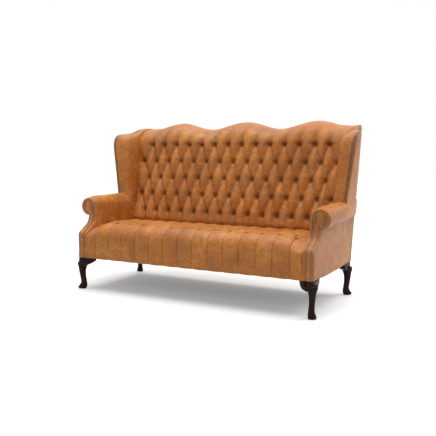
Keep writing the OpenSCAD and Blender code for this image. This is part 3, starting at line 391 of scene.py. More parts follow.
def sidePiece(name, side, sign, rings, paintedShade, replaced, air=None):
    rings = rings * np.array([sign, 1, 1])
    paddedPiece(name + side.capitalize(), rings, paintedShade, [node + side for node in replaced], air)


airLook = {
    "frames": 12,
    "hold": 0.6,  # how firmly springs hold the edges
    "leather": {
        "quality": 5, "mass": 0.4, "tension_stiffness": 12.0, "compression_stiffness": 12.0,
        "shear_stiffness": 6.0, "bending_stiffness": 1.5},
}

def inflate(piece, shape, first, last, pressure, cap):
    # Air pushes the leather out between the columns first and last, and no point moves further than cap
    held = np.ones(shape[:2], bool)
    held[4:-4, first:last] = False
    group = piece.vertex_groups.new(name="held")
    group.add(np.nonzero(held.ravel())[0].tolist(), airLook["hold"], "REPLACE")
    cloth = piece.modifiers.new("air", "CLOTH")
    cloth.settings.effector_weights.gravity = 0
    air = {"vertex_group_mass": "held", "use_pressure": True, "uniform_pressure_force": pressure}
    for key, value in {**airLook["leather"], **air}.items():
        setattr(cloth.settings, key, value)
    cloth.collision_settings.use_collision = False
    cloth.point_cache.frame_start, cloth.point_cache.frame_end = 1, airLook["frames"]
    scene = bpy.context.scene
    for step in range(1, airLook["frames"] + 1):
        scene.frame_set(step)
    puffed = piece.evaluated_get(bpy.context.evaluated_depsgraph_get())
    before, after = (np.empty(held.size * 3) for _ in range(2))
    piece.data.vertices.foreach_get("co", before)
    puffed.data.vertices.foreach_get("co", after)
    move = np.nan_to_num(after - before).reshape(-1, 3)
    far = np.linalg.norm(move, axis=1, keepdims=True)
    move *= np.minimum(1, cap / np.maximum(far, 1e-9))
    piece.modifiers.remove(cloth)
    piece.vertex_groups.clear()
    piece.data.vertices.foreach_set("co", before + move.ravel())
    piece.data.update()
    scene.frame_set(1)
    print("  inflated", piece.name, "by", round(float(far[~held.ravel()].mean()) * 1000, 1), "mm on average")


tuftLook = {
    "foldStart": 0.008,  # distance from a button where a fold begins, and how fast it deepens
    "foldFade": 0.02, "lapReach": 0.008,
    # Painted shade: a dark ring round each button, and a dark hood over it where the leather overhangs the dimple
    "ringReach": 0.013,  # dark ring round a button
    "ringShade": 0.9,
    "hood": (0.017, 0.016, 0.014),  # dark spot over a button: width, height, distance up
    "hoodShade": 0.4,
}

def tuftHeight(s, v, lastRow, step, look):
    # Height over the buttons as a share of the crown, with the folds between the buttons
    held = np.clip(v, 0, lastRow)
    a, b = s + held / 2 + 0.5, s - held / 2 + 0.5
    offA, offB = a - np.round(a), b - np.round(b)
    pillow = np.abs(np.sin(np.pi * a) * np.sin(np.pi * b)) ** look["power"]
    pillow *= 1 + look["sag"] * (held - np.floor(a) + np.floor(b))
    across = (s - ((np.round(a) + np.round(b)) / 2 - 0.5)) * pitch
    down = (v - (np.round(a) - np.round(b))) * step
    away = np.hypot(across, down)
    dimple = 1 - bell(away, look["dimple"])
    slope = math.hypot(1 / pitch, 0.5 / step)
    foldA, foldB = np.abs(offA) / slope, np.abs(offB) / slope
    fold = bell(np.minimum(foldA, foldB), look["foldWidth"])
    fold *= ease((away - tuftLook["foldStart"]) / tuftLook["foldFade"])
    reach = tuftLook["lapReach"]
    lap = (np.exp(-foldA / reach) * (offA < 0) + np.exp(-foldB / reach) * (offB > 0)) * dimple
    height = look["fold"] * dimple + (1 - look["fold"]) * pillow
    height += look["lap"] * lap - look["groove"] * fold
    # Painted shade in the dimples and folds, returned with the height
    hoodWide, hoodTall, hoodUp = tuftLook["hood"]
    hood = bell(across, hoodWide) * bell(down + hoodUp, hoodTall)
    ring = bell(away, tuftLook["ringReach"])
    shade = tuftLook["ringShade"] * ring + tuftLook["hoodShade"] * hood + look["foldShade"] * fold
    return height, np.clip(shade, 0, 1), away


# Tufted back
backLook = {
    "crown": 0.045, "power": 0.88, "sag": 0.32, "dimple": 0.023, "fold": 0.40,
    "foldWidth": 0.0045, "lap": 0.04, "groove": 0.03, "foldShade": 0.12,
    "perPitch": 22,  # columns of points to a button pitch
    "low": 0.402,  # lower end of the back, behind the seat
    "crestUp": 0.62,  # how far the crest rises before it turns back, and how flat it runs to the ridge
    "crestOver": 0.55, "crestSlope": 0.010, "crestBack": 0.020, "fluteFold": 0.3,
    "fluteLength": 0.72, "rearRound": 0.014, "rearLip": 0.050,
    "rail": 0.026,  # depth of the stuffing over the top rail
    "padTop": 0.0725, "padThick": 0.0575, "skin": 0.004,
    "leanFrom": 6.3,  # column where the back begins to follow the lean of the wings
    "endPull": 0.017,  # the outermost buttons sit this much closer to the next ones
    "endPullAt": 6.75, "endPullWidth": 0.36, "uneven": 0.0012,
}

def endPull(s):
    near = bell(np.abs(s) - backLook["endPullAt"], backLook["endPullWidth"])
    return backLook["endPull"] * np.sign(s) * near * ease((endColumn - np.abs(s)) / 0.2)

def backRings():
    look = backLook
    s = np.linspace(-endColumn, endColumn, int(sofa["columns"] * look["perPitch"]) + 1)
    normal = np.array([0, -math.cos(rake), math.sin(rake)])
    lowV = (topRow - look["low"]) / rowDrop
    vs = np.r_[np.linspace(lowV, 4, 20, endpoint=False), np.linspace(4, 0, 93)]
    ts = np.linspace(0, 1, 40)[1:, None] ** 0.9
    lift = ease((lowV - vs) / 0.55)
    z = topRow - vs * rowDrop
    rings, shades = [], []
    for column in s:
        x = column * pitch
        top = float(crestZ(x))
        height, shade, _ = tuftHeight(np.full(vs.shape, column), vs, 4, rowStep, look)
        plane = pointsOf(x, tuftY(z), z)
        plane += (look["crown"] * height * lift)[:, None] * normal
        # Over the top row one smooth curve runs up and back to the ridge, with a flute over each button
        start = np.array([x, tuftY(topRow), topRow]) + look["crown"] * normal
        ridge = np.array([x, rearY(top) - look["crestBack"], top])
        tall, deep = top - start[2], ridge[1] - start[1]
        upward = start + np.array([0, normal[2], -normal[1]]) * tall * look["crestUp"]
        onward = ridge - np.array([0, look["crestOver"] * deep, look["crestSlope"]])
        curve = bezier(ts, start, upward, onward, ridge)
        whole = np.concatenate([[start], curve])
        course, run = directions(whole)[1:], lengthsAlong(whole)[1:]
        outward = pointsOf(0, -course[:, 2], course[:, 1])
        share = run / run[-1]
        flute = np.abs(math.sin(math.pi * (column + 0.5))) ** 0.8
        beside = (column + 0.5 - round(column + 0.5)) * pitch
        profile = 1 - bell(np.hypot(run, beside), look["dimple"])
        base = look["fold"] + (look["fluteFold"] - look["fold"]) * ease(share / 0.2)
        full = base * profile + (1 - base) * (flute + (1 - flute) * ease(share / look["fluteLength"]))
        band = curve - (look["crown"] * (1 - full) * ease((1 - share) / 0.2))[:, None] * outward
        # Behind the ridge the leather turns down, and the stuffing closes the form inside
        edgeZ = top - look["rearRound"]
        edge = np.array([x, rearY(edgeZ), edgeZ])
        level = ridge + np.array([0, 0.6 * (edge[1] - ridge[1]), 0])
        upright = edge + np.array([0, 0.002, 0.6 * look["rearRound"]])
        over = bezier(np.linspace(0, 1, 7)[1:, None], ridge, level, upright, edge)
        lipZ, railZ, padZ = top - look["rearLip"], top - look["rail"], top - look["padTop"]
        bulgeZ = top - 0.6 * look["rearLip"]
        inside = [
            (rearY(bulgeZ) + 0.0015, bulgeZ),
            (rearY(lipZ), lipZ),
            (rearY(lipZ) - look["skin"], lipZ),
            (rearY(railZ) - look["skin"], railZ),
            (tuftY(padZ) + look["padThick"] + 0.001, railZ),
        ] + [(tuftY(low) + look["padThick"], low) for low in (padZ, wingKnee, look["low"])]
        rings.append(np.concatenate([plane, band, over, [(x, y, z) for y, z in inside]]))
        # Painted shade in the flute dimples and in a dark streak over each top-row button
        streak = (1 - flute) ** 2.2 * bell(share, 0.4)
        hidden = np.zeros(len(over) + len(inside))
        shades.append(np.concatenate([shade * lift, 0.8 * (1 - profile) + 0.4 * streak, hidden]))
    rings = np.array(rings)
    # The end columns lean out with the wings
    lean = ease((np.abs(s) - look["leanFrom"]) / (endColumn - look["leanFrom"]))[:, None] * np.sign(s)[:, None]
    rings[..., 0] += lean * (innerX(rings[..., 2]) - armInner)
    rings[..., 0] -= endPull(s)[:, None]
    roughen(rings, look, slice(8, -8), 1, 34, 3)
    roughen(rings, look, slice(8, -8), 2, 30, 4)
    return rings, np.array(shades)


rings, shades = backRings()
paddedPiece("tuftedBack", rings, shades, ("back_cover", "back_foam"))
print("back made")


# Tufted seat with its sewn front channels
seatLook = {
    "crown": 0.018, "power": 0.8, "sag": 0.0, "dimple": 0.017, "fold": 0.6,
    "foldWidth": 0.004, "lap": 0.035, "groove": 0.05, "foldShade": 0.1,
    "height": 0.470, "slope": 4.3, "noseDepth": 0.111, "noseHeight": 0.086,
    "rowStep": 0.120,
    "lastRow": 3.66,  # where the seat goes under the back, in rows
    "channel": 0.0110, "seamWidth": 0.0018, "seamDepth": 0.0018, "seamShade": 0.28,
    "hang": 0.0028, "hemRound": 0.006, "endDrop": 0.038,
    "dropFrom": 5.9,  # column where the pull beside the arms begins
    "underHem": ((-0.436, 0.2262), (-0.452, 0.2258)),  # [y, z] of the hidden rows
    "underPad": ((0.080, 0.3505), (-0.200, 0.3505), (-0.4485, 0.3505), (-0.4485, 0.228)),
    "uneven": 0.0009,
}
seatSlope = math.radians(seatLook["slope"])
noseY = sofa["seamFront"] + seatLook["noseDepth"]
noseZ = seatLook["height"] - seatLook["noseHeight"]

def seatRings():
    look = seatLook
    # Points gather beside the seams
    offsets = np.array([0, 0.013, 0.028, 0.05, 0.08, 0.12, 0.165, 0.215, 0.27, 0.325, 0.385, 0.445])
    half = np.concatenate([offsets, 1 - offsets[:0:-1]])
    s = np.concatenate([seam + half for seam in np.arange(-7.5, 7.5)] + [[7.5]])
    s = np.concatenate([[-endColumn], s[np.abs(s) < endColumn - 0.02], [endColumn]])
    x = s * pitch
    wave = np.abs(np.cos(np.pi * s))
    stitch = bell((s + 0.5 - np.round(s + 0.5)) * pitch, look["seamWidth"])
    endSoft = 0.45 + 0.55 * ease((endColumn - np.abs(s)) / 0.3)
    swell = look["channel"] * (0.5 * wave ** 0.4 + 0.5 * wave) * endSoft
    seam = look["seamDepth"] * stitch
    rows, shades = [], []

    def addRow(y, z, shade=0.0):
        rows.append(pointsOf(x, y, z))
        shades.append(np.broadcast_to(shade, x.shape))

    for y, z in look["underHem"]:
        addRow(y, z)
    soft = look["hemRound"]
    for share in (0.15, 0.5, 0.85):
        c, n = math.cos(share * math.pi / 2), math.sin(share * math.pi / 2)
        hang = look["hang"] * wave ** 0.8 * (1 - share)
        addRow(sofa["seamFront"] + soft * (1 - n) - swell * 0.5 * n, hem + soft * (1 - c) - hang, 0.25 * stitch)
    for t in np.linspace(0, 1, 17)[1:]:
        out = swell * (0.5 + 0.5 * math.sin(t * math.pi / 2)) - seam
        z = hem + soft + (noseZ - hem - soft) * t
        addRow(sofa["seamFront"] - out, z, look["seamShade"] * stitch)
    for angle in np.radians(np.linspace(0, 90, 17)[1:-1]):
        c, n = math.cos(angle), math.sin(angle)
        lift = swell * (1 - 0.4 * n) - seam
        y = sofa["seamFront"] + look["noseDepth"] * (1 - c) - lift * c
        addRow(y, noseZ + look["noseHeight"] * n + lift * n, look["seamShade"] * stitch)
    # The top, where the channels pass into the tufts
    lastV = look["lastRow"]
    for v in np.r_[np.linspace(0, 3, 61), np.linspace(3, lastV, 10)[1:]]:
        height, shade, away = tuftHeight(s, np.full(s.shape, v), 3, look["rowStep"], look)
        sink = 1 - 0.5 * ease((v - 3.2) / (lastV - 3.2))
        front = ease(v / 0.35)
        dimple = 1 - bell(away, look["dimple"]) * (v < 0.4)
        channel = (swell / look["crown"] - 0.06 * stitch) * 0.6 * dimple
        rise = look["crown"] * (height * front + channel * (1 - front)) * sink * endSoft
        y = noseY + v * look["rowStep"] * math.cos(seatSlope)
        z = look["height"] - math.tan(seatSlope) * (y - noseY)
        addRow(y + rise * math.sin(seatSlope), z + rise * math.cos(seatSlope), shade)
    lastY = rows[-1][0, 1]
    addRow(lastY + 0.004, look["height"] - math.tan(seatSlope) * (lastY - noseY) - 0.012)
    for y, z in look["underPad"]:
        addRow(y, z)
    rings = np.array(rows).transpose(1, 0, 2)
    # Beside the arms the front of the seat is pulled down
    ends = ease((np.abs(s) - look["dropFrom"]) / (endColumn - look["dropFrom"]))[:, None]
    drop = ends * (1 - ease((rings[..., 1] + 0.40) / 0.46)) * ease((rings[..., 2] - 0.36) / 0.10)
    rings[..., 2] -= look["endDrop"] * drop
    roughen(rings, look, slice(6, -6), 1, 30, 5)
    roughen(rings, look, slice(6, -6), 2, 34, 6)
    return rings, np.array(shades).T


rings, shades = seatRings()
paddedPiece("tuftedSeat", rings, shades, ("seat_cover", "seat_foam"))
print("seat made")


# Arms: a roll over the top rail, flat sides below it and a swept front edge
armLook = {
    "rollRadius": 0.064, "lipWidth": 0.0185,
    "low": 0.352,  # below it only the lip beside the facing is there
    "sideTop": 0.548, "lipEnd": -0.4490, "padDeep": 0.058, "fullness": 0.010,
    "narrowing": 0.053,  # how far the outer side of a roll comes in to the rear, and how far it rises
    "lift": 0.028, "sweepStart": 0.388, "sweepRadius": 0.025, "sweepAngle": 58,
    "scrollFront": -0.354, "uneven": 0.0011,
    "air": (22, 55, 0.6, 0.004),  # first and last free column, pressure and furthest move
}
facingLook = {
    "inner": 0.824, "outer": 0.869, "disc": 0.0463, "top": (0.6245, 0.6258, 0.6262),
    "crown": 0.0034, "thick": 0.0038, "paintedShade": 0.6, "nailLines": (0.829, 0.864),
    "nailRing": 0.039,
}
panelLook = {
    "inner": 0.869, "round": 0.008, "top": 0.545, "crown": 0.0035, "uneven": 0.0009,
    "air": (11, -9, 0.3, 0.003),
}
sweepTurn = math.radians(armLook["sweepAngle"])
sweepEndY = facingFront + armLook["sweepRadius"] * (1 - math.cos(sweepTurn))
sweepEndZ = armLook["sweepStart"] + armLook["sweepRadius"] * math.sin(sweepTurn)
neckUp, neckBack = neck - sweepEndZ, armLook["scrollFront"] - sweepEndY
neckRadius = (neckUp * math.sin(sweepTurn) - neckBack * math.cos(sweepTurn)) / (1 - math.cos(sweepTurn))

def facingLine(steps=12):
    # [y, z] up the front of an arm, from the hem to the middle of the scroll
    turn = np.linspace(0, 1, steps) * sweepTurn
    front, radius = facingFront, armLook["sweepRadius"]
    first = pointsOf(front + radius * (1 - np.cos(turn)), armLook["sweepStart"] + radius * np.sin(turn))
    turn = sweepTurn - turn
    scroll = armLook["scrollFront"]
    second = pointsOf(scroll - neckRadius * (1 - np.cos(turn)), neck - neckRadius * np.sin(turn))
    return np.concatenate([[[front, hem]], first, second[1:], [[scroll, rollZ]]])


frontLine = facingLine()

def facingY(z):
    return np.interp(z, frontLine[:, 1], frontLine[:, 0])

def armRings():
    look = armLook
    radius = look["rollRadius"]
    levels = np.r_[np.linspace(hem, look["low"] - 0.001, 20), np.linspace(look["low"], look["sideTop"], 34)]
    side = pointsOf(armInner, levels)
    turns = np.radians(np.linspace(172, -86, 66))
    roll = onScroll(radius, turns)
    path = np.concatenate([side, roll])
    along = directions(path)
    inward = pointsOf(along[:, 1], -along[:, 0])
    onRoll = np.arange(len(path)) >= len(side)
    turned = ease((path[:, 1] - 0.45) / 0.08)
    turned[onRoll] = 1
    startY = np.where(onRoll, look["scrollFront"], facingY(path[:, 1]))
    edge = 0.0065 + 0.0025 * turned
    power = 0.45 + 0.55 * turned
    angles = np.radians(np.linspace(180, 0, 15))
    lipIn = look["lipWidth"] / 2 * (1 - np.cos(angles))
    deep = look["padDeep"]
    rings, shadeMask = [], []
    for k, (x, z) in enumerate(path):
        front = startY[k] + edge[k] - 0.005 * turned[k]
        short = z < look["low"]
        rear = look["lipEnd"] if short else rearY(z) - 0.001
        lipY = front - edge[k] * np.sin(angles) ** power[k]
        runs = front + (rear - (0.002 if short else 0.006) - front) * np.linspace(0, 1, 46)[1:]
        capIn = [0.0018, 0.0024, 0.0032, 0.004, 0.004] if short else [0.0018, 0.006, 0.030, deep, deep]
        capY = rear - np.array([0.0018, 0, 0, 0, 0.001 if short else 0.004])
        wallY = [rear - (0.003 if short else 0.010), front + (0.010 if short else 0.014)]
        depth = np.r_[[look["lipWidth"]] * 2, lipIn, np.zeros(len(runs)), capIn, 0.005, 0.005]
        y = np.r_[front + 0.004, front + 0.002, lipY, runs, capY, wallY]
        rings.append(pointsOf(x + depth * inward[k, 0], y, z + depth * inward[k, 1]))
        # Painted shade on the lip, in the crease where the cover meets the facing
        shadeMask.append(np.r_[0.5, 0.5, 0.25 * (angles > 2.4), np.zeros(len(runs) + 7)])
    rings = np.array(rings)
    # The roll is fuller behind its rim, and its outer side comes in towards the rear under the wing
    x, y, z = (rings[onRoll][..., k] for k in range(3))
    full = look["fullness"] * np.sin(turns.clip(0))[:, None] * ease((y - look["scrollFront"] - 0.004) / 0.07)
    narrow = np.clip(y / rearY(rollZ), 0, 1)
    limit = rollX + radius - look["narrowing"] * narrow + 0.002
    rings[onRoll, :, 0] = np.where(y > 0, softMin(x, limit), x)
    rings[onRoll, :, 2] = z + full + look["lift"] * narrow * (-np.sin(turns)).clip(0)[:, None]
    for axis in (0, 2):
        roughen(rings, look, slice(10, -7), axis, 26, 7 + axis)
    return rings, np.array(shadeMask)

def facingRings():
    look = facingLook
    line = frontLine[:-1]
    lengths = lengthsAlong(line)
    low = pointsAt(line, lengths, np.linspace(0, lengths[-1], 64))
    middle = np.array([rollX, rollZ])
    rows = [(look["inner"], look["outer"], y, z) for y, z in low]
    for z in np.concatenate([np.linspace(neck, 0.622, 34)[1:], look["top"]]):
        chord = math.sqrt(max(look["disc"] ** 2 - (z - middle[1]) ** 2, 0.000002))
        share = min(1, (z - neck) / 0.05)
        x0 = look["inner"] + share * 0.005 if z < middle[1] - 0.004 else middle[0] - chord
        x0 = min(x0, middle[0] - chord) if z > 0.545 else x0
        x1 = max(look["outer"], middle[0] + chord) if z < 0.56 else middle[0] + chord
        rows.append((x0, x1, armLook["scrollFront"], z))
    rows = np.array(rows)
    along = directions(rows[:, 2:4])
    out = pointsOf(-along[:, 1], along[:, 0])
    across = np.sin(np.radians(np.linspace(-90, 90, 15)))
    rings = []
    for k, ((x0, x1, y, z), way) in enumerate(zip(rows, out)):
        width = x1 - x0
        puff = look["crown"] * np.clip(1 - across ** 2, 0, 1) ** 0.55 * min(1, width / 0.03) + 0.0006
        puff *= min(1, (k + 1) / 4)
        xs = (x0 + x1) / 2 + across * width / 2
        front = pointsOf(xs, y + way[0] * puff, z + way[1] * puff)
        rear = pointsOf(xs[::-1], y - way[0] * look["thick"], z - way[1] * look["thick"])
        rings.append(np.concatenate([front, rear]))
    # Painted shade in a dark strip along each nail line
    nailShade = look["paintedShade"] * bell(np.abs(across) - 0.66, 0.16)
    return np.array(rings), np.tile(np.concatenate([nailShade, np.zeros(15)]), (len(rows), 1))

def sidePanelRings():
    look, face = panelLook, halfWidth
    turn = np.radians(np.linspace(90, 0, 7))
    run = np.linspace(0, 1, 48)[1:-1]
    rings = []
    for z in np.r_[np.linspace(hem, 0.39, 26), np.linspace(0.39, look["top"], 34)[1:]]:
        front, rear = facingY(z), rearY(z) - 0.0005
        puff = look["crown"] * np.clip(4 * run * (1 - run), 0, 1) ** 0.6 * ease((z - hem) / 0.03)
        hiddenX = [face - 0.0015, face - 0.005, face - 0.007, face - 0.005, look["inner"]]
        hiddenY = [rear - 0.0015, rear, rear - 0.006, front + 0.016, front + 0.004]
        x = np.r_[look["inner"] + look["round"] * np.cos(turn), face + puff, hiddenX]
        runY = front + 0.007 + (rear - front - 0.012) * run
        y = np.r_[front + 0.007 * (1 - np.sin(turn)), runY, hiddenY]
        rings.append(pointsOf(x, y, z))
    rings = np.array(rings)
    roughen(rings, look, slice(8, -6), 0, 14, 21)
    return rings


for side, sign in sides:
    sidePiece("armCover", side, sign, *armRings(), ("arm_cover_", "arm_pad_"), armLook["air"])
    sidePiece("armFacing", side, sign, *facingRings(), ("arm_facing_",))
    sidePiece("outsideArm", side, sign, sidePanelRings(), None, ("outside_arm_panel_",), panelLook["air"])
print("arms made")


# Wings
wingLook = {
    # Front and top line as shares of the wing's depth and height, from the knee to the rear
    "shares": (
        (0.02, 0.56), (0.025, 0.328), (0.045, 0.226), (0.1, 0.149), (0.2, 0.109),
        (0.36, 0.091), (0.5, 0.074), (0.64, 0.028), (0.8, 0), (1, 0)),
    "footSet": 0.004,
    "round": 0.042,  # depth of the round from the front into the inner side
    "roundTo": 0.95, "edge": 0.011, "crown": 0.006, "paintedShade": 0.5,
    "nailInset": 0.013, "nailFoot": 0.652, "panelInset": 0.0125, "panelFoot": 0.535,
    "panelCrown": 0.0034, "panelUneven": 0.0008, "uneven": 0.001,
    "air": (3, 22, 0.3, 0.003),
}
wingDepth = rearY(shoulder) - 0.004 - wingFront
wingHeight = shoulder - wingKnee

def smoothLine(points, steps):
    p = np.array(points)
    out = []
    for i in range(len(p) - 1):
        a, b, c, d = p[max(i - 1, 0)], p[i], p[i + 1], p[min(i + 2, len(p) - 1)]
        for t in np.arange(steps) / steps:
            bend = (2 * a - 5 * b + 4 * c - d) * t * t + (3 * b - a - 3 * c + d) * t ** 3
            out.append(0.5 * (2 * b + (c - a) * t + bend))
    out.append(p[-1])
    return np.array(out)


wingPoints = [(wingFront + a * wingDepth, shoulder - b * wingHeight) for a, b in wingLook["shares"]]
wingCurve = smoothLine([(wingFront, wingKnee)] + wingPoints, 8)

def wingOutline():
    # Points up the front and along the top, the direction inward at each, and their share of the way
    heights = np.linspace(sofa["wingFoot"] - 0.012, wingKnee, 8)[:-1]
    setIn = wingLook["footSet"] * (1 - ease((heights - sofa["wingFoot"]) / 0.048))
    line = np.concatenate([pointsOf(wingFront - setIn, heights), wingCurve])
    lengths = lengthsAlong(line)
    at = np.linspace(0, lengths[-1], 110)
    line = pointsAt(line, lengths, at)
    along = directions(line)
    return line, pointsOf(along[:, 1], -along[:, 0]), at / lengths[-1]

def onFace(x, p):
    return pointsOf(x, p[..., 0], p[..., 1])

def wingRings():
    look = wingLook
    line, inward, share = wingOutline()
    here, way, y, z = line[:, None], inward[:, None], line[:, :1], line[:, 1:]
    fade = look["round"] * np.clip((wingFront + 0.62 * wingDepth - y) / (0.3 * wingDepth), 0, 1)
    goalZ = z[0] + (shoulder - 0.012 - z[0]) * share
    goal = pointsOf(rearY(goalZ) - 0.03, goalZ)[:, None]
    begin = here + (fade + 0.004)[..., None] * way
    # Inner side, from the rear to the front
    t = np.linspace(1, 0, 13)[:-1]
    p = begin + (goal - begin) * t[:, None]
    bow = np.sin(np.pi * np.minimum(1, (1 - t) * 1.15 + 0.02)) * ease(share / 0.2)[:, None]
    parts = [onFace(innerX(p[..., 1]) - look["crown"] * bow, p)]
    # Across the front or the top, and round the outer edge
    inner, outer = innerX(z), outerX(y, z)
    edge = np.minimum(look["edge"], 0.4 * (outer - inner))
    part = np.array([0, 0.008, 0.025, 0.05, 0.085, 0.13, 0.19, 0.26, 0.34, 0.44, 0.56, 0.68, 0.8, 0.9, 1])
    away = np.minimum(1, part / look["roundTo"])
    deep = fade * (1 - np.sqrt(1 - (1 - away) ** 2)) - 0.003 * np.sin(np.pi * part)
    parts.append(onFace(inner + part * (outer - inner - edge), here + deep[..., None] * way))
    angle = np.radians((22, 40, 58, 74, 90))
    p = here + (edge * (1 - np.cos(angle)))[..., None] * way
    parts.append(onFace(outerX(y, p[..., 1]) - edge * (1 - np.sin(angle)), p))
    # Under the outside panel, and back inside the form
    p = here + 0.020 * way
    parts.append(onFace(outerX(p[..., 0], p[..., 1]) - np.array([0.0015, 0.007, 0.013]), p))
    t = np.array([0.12, 0.5, 1.0])[:, None]
    p = begin + 0.008 * way * (1 - t) + (goal - begin) * t
    parts.append(onFace(innerX(p[..., 1]) + 0.007, p))
    rings = np.concatenate(parts, 1)
    roughen(rings, look, slice(1, -6), 0, 24, 31)
    return rings

def wingPanelRings():
    look = wingLook
    line, inward, share = wingOutline()
    begin = line + look["panelInset"] * inward
    goalZ = look["panelFoot"] + (shoulder - 0.010 - look["panelFoot"]) * share
    goal = pointsOf(rearY(goalZ) - 0.0005, goalZ)
    t = np.r_[0, 0.004, 0.012, np.linspace(0.03, 0.97, 22), 0.99, 1]
    puff = look["panelCrown"] * np.sqrt(np.minimum(1, t / 0.06) * np.minimum(1, (1 - t) / 0.03))
    puff = puff * (0.45 + 0.55 * np.sin(np.pi * share))[:, None] - 0.0008
    puff = np.pad(puff, ((0, 0), (0, 3)), constant_values=-0.006)
    p = begin[:, None] + (goal - begin)[:, None] * np.r_[t, 1, 0.5, 0.01][:, None]
    rings = onFace(outerX(p[..., 0], p[..., 1]) + puff, p)
    rings[:, 3:-5, 0] += look["panelUneven"] * softNoise(rings[:, 3:-5], 16, 33)
    return rings


for side, sign in sides:
    rings = wingRings()
    shades = np.zeros(rings.shape[:2])
    # Painted shade in a dark strip along the nails, where the front face turns round the outer edge
    shades[:, 25:28] = wingLook["paintedShade"]  # under the nails
    sidePiece("wingCover", side, sign, rings, shades, ("wing_cover_", "wing_pad_"), wingLook["air"])
    sidePiece("outsideWing", side, sign, wingPanelRings(), None, ("outside_wing_panel_",))
print("wings made")


# Outside back
outsideLook = {
    "crown": 0.0035, "belly": 0.004, "edgeSide": 0.03, "edgeEnds": 0.02,
    "thick": 0.004, "uneven": 0.0012,
}

def outsideBackRings():
    look = outsideLook
    c = np.r_[-1, -0.997, np.linspace(-0.985, 0.985, 109), 0.997, 1][:, None]
    x, reach = c * halfWidth, np.abs(c) * halfWidth
    top = crestZ(np.minimum(reach, armInner)) - backLook["rearLip"]
    top += ease((reach - innerX(shoulder) + 0.006) / 0.012) * (shoulder - top)
    share = np.r_[0, 0.004, np.linspace(0.02, 0.98, 44), 0.996, 1]
    z = hem + (top - hem) * share
    edge = np.minimum(1, (1 - np.abs(c)) / look["edgeSide"]) * np.minimum(1, (z - hem) / look["edgeEnds"])
    edge = np.sqrt(edge * np.clip((top - z) / look["edgeEnds"], 0, 1))
    puff = look["crown"] + look["belly"] * np.sin(np.pi * share) * np.cos(c * np.pi / 2)
    shown = pointsOf(x, rearY(z) - 0.001 + puff * edge, z)
    z = hem + (top - hem) * np.array([1, 0.5, 0])
    rings = np.concatenate([shown, pointsOf(x, rearY(z) - 0.001 - look["thick"], z)], 1)
    rings[2:-2, 2:-5, 1] += look["uneven"] * softNoise(rings[2:-2, 2:-5], 12, 41)
    return rings


paddedPiece("outsideBack", outsideBackRings(), None, ("outside_back_panel",))
print("outside back made")


# Nails and buttons: one of each is modelled and copied
nailLook = {
    "radius": 0.0042, "spacing": 0.0116, "sides": 10,
    "profile": ((1, 0.0008), (0.86, 0.0010), (0.58, 0.0007)),  # each step's share of the width and its rise
    "lift": 0.0012, "facingLift": 0.0008,
}
buttonLook = {
    "radius": 0.0098, "sides": 16,
    "profile": ((1.04, 0.0016), (0.95, 0.0014), (0.78, 0.0011), (0.5, 0.0008), (0.4, 0.0003)),
    "sunk": 0.0008,
}

def editStart():
    bpy.ops.object.mode_set(mode="EDIT")
    bpy.ops.mesh.select_all(action="SELECT")

def takeTemplate(piece):
    bpy.ops.object.mode_set(mode="OBJECT")
    mesh = piece.data.copy()
    bpy.data.objects.remove(piece)
    return mesh

def extrude(move, scale, centre=(0, 0, 0)):
    bpy.ops.mesh.extrude_region_move(TRANSFORM_OT_translate={"value": move})
    bpy.ops.transform.resize(value=scale, center_override=centre)

def domeTemplate(look):
    bpy.ops.mesh.primitive_circle_add(
        vertices=look["sides"], radius=look["radius"], fill_type="NGON", location=(0, 0, 0))
    editStart()
    for share, rise in look["profile"]:
        extrude((0, 0, rise), (share, share, 1))
    return takeTemplate(bpy.context.object)

def standing(point, way, turn):
    # Puts a copy on point, with its Z along way and turned about that
    lean = Vector((0, 0, 1)).rotation_difference(Vector(way)).to_matrix().to_4x4()
    return Matrix.Translation(point) @ (lean @ Matrix.Rotation(turn, 4, "Z"))

def copiesPiece(name, parts, slotName, node, sharpAngle=None):
    # One piece from many copies, each a mesh and its matrix
    bm = bmesh.new()
    for mesh, matrix in parts:
        start = len(bm.verts)
        bm.from_mesh(mesh)
        bm.verts.ensure_lookup_table()
        bmesh.ops.transform(bm, matrix=matrix, verts=bm.verts[start:])
    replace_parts(finishedPiece(name, bm, slotName, sharpAngle), node)

def evenPlaces(line):
    # Evenly spaced points for nails on a line, and the line's direction at each
    lengths = lengthsAlong(line)
    count = int(lengths[-1] // nailLook["spacing"])
    at = (np.arange(count + 1) + 0.5) * lengths[-1] / (count + 1)
    place = pointsAt(line, lengths, at)
    way = pointsAt(line, lengths, np.minimum(at + 0.001, lengths[-1])) - place
    return zip(place, way / np.linalg.norm(way, axis=1, keepdims=True))

def facingNails(sign):
    found = []
    lift, face = nailLook["facingLift"], armLook["scrollFront"] - nailLook["lift"]
    for x in facingLook["nailLines"]:
        for (y, z), way in evenPlaces(frontLine[frontLine[:, 1] <= neck + 1e-9]):
            point = (sign * x, y - way[1] * lift, z + way[0] * lift)
            found.append(standing(point, (0, -way[1], way[0]), 0.3 * y))
    arc = onScroll(facingLook["nailRing"], np.radians(np.arange(-60, 181, 5)))
    first, last = [[0.864, neck + 0.006]], [[0.8295, neck + 0.004]]
    for (x, z), _ in evenPlaces(np.concatenate([first, arc, last])):
        found.append(standing((sign * x, face, z), (0, -1, 0), 3 * x))
    return found

def wingNails(sign):
    found = []
    lift = nailLook["lift"]
    foot = [[wingFront - wingLook["footSet"], wingLook["nailFoot"]]]
    for (y, z), way in evenPlaces(np.concatenate([foot, wingCurve[wingCurve[:, 1] > 0.66]])):
        x = outerX(y, z) - wingLook["nailInset"]
        found.append(standing((sign * x, y - way[1] * lift, z + way[0] * lift), (0, -way[1], way[0]), 3 * z))
    return found


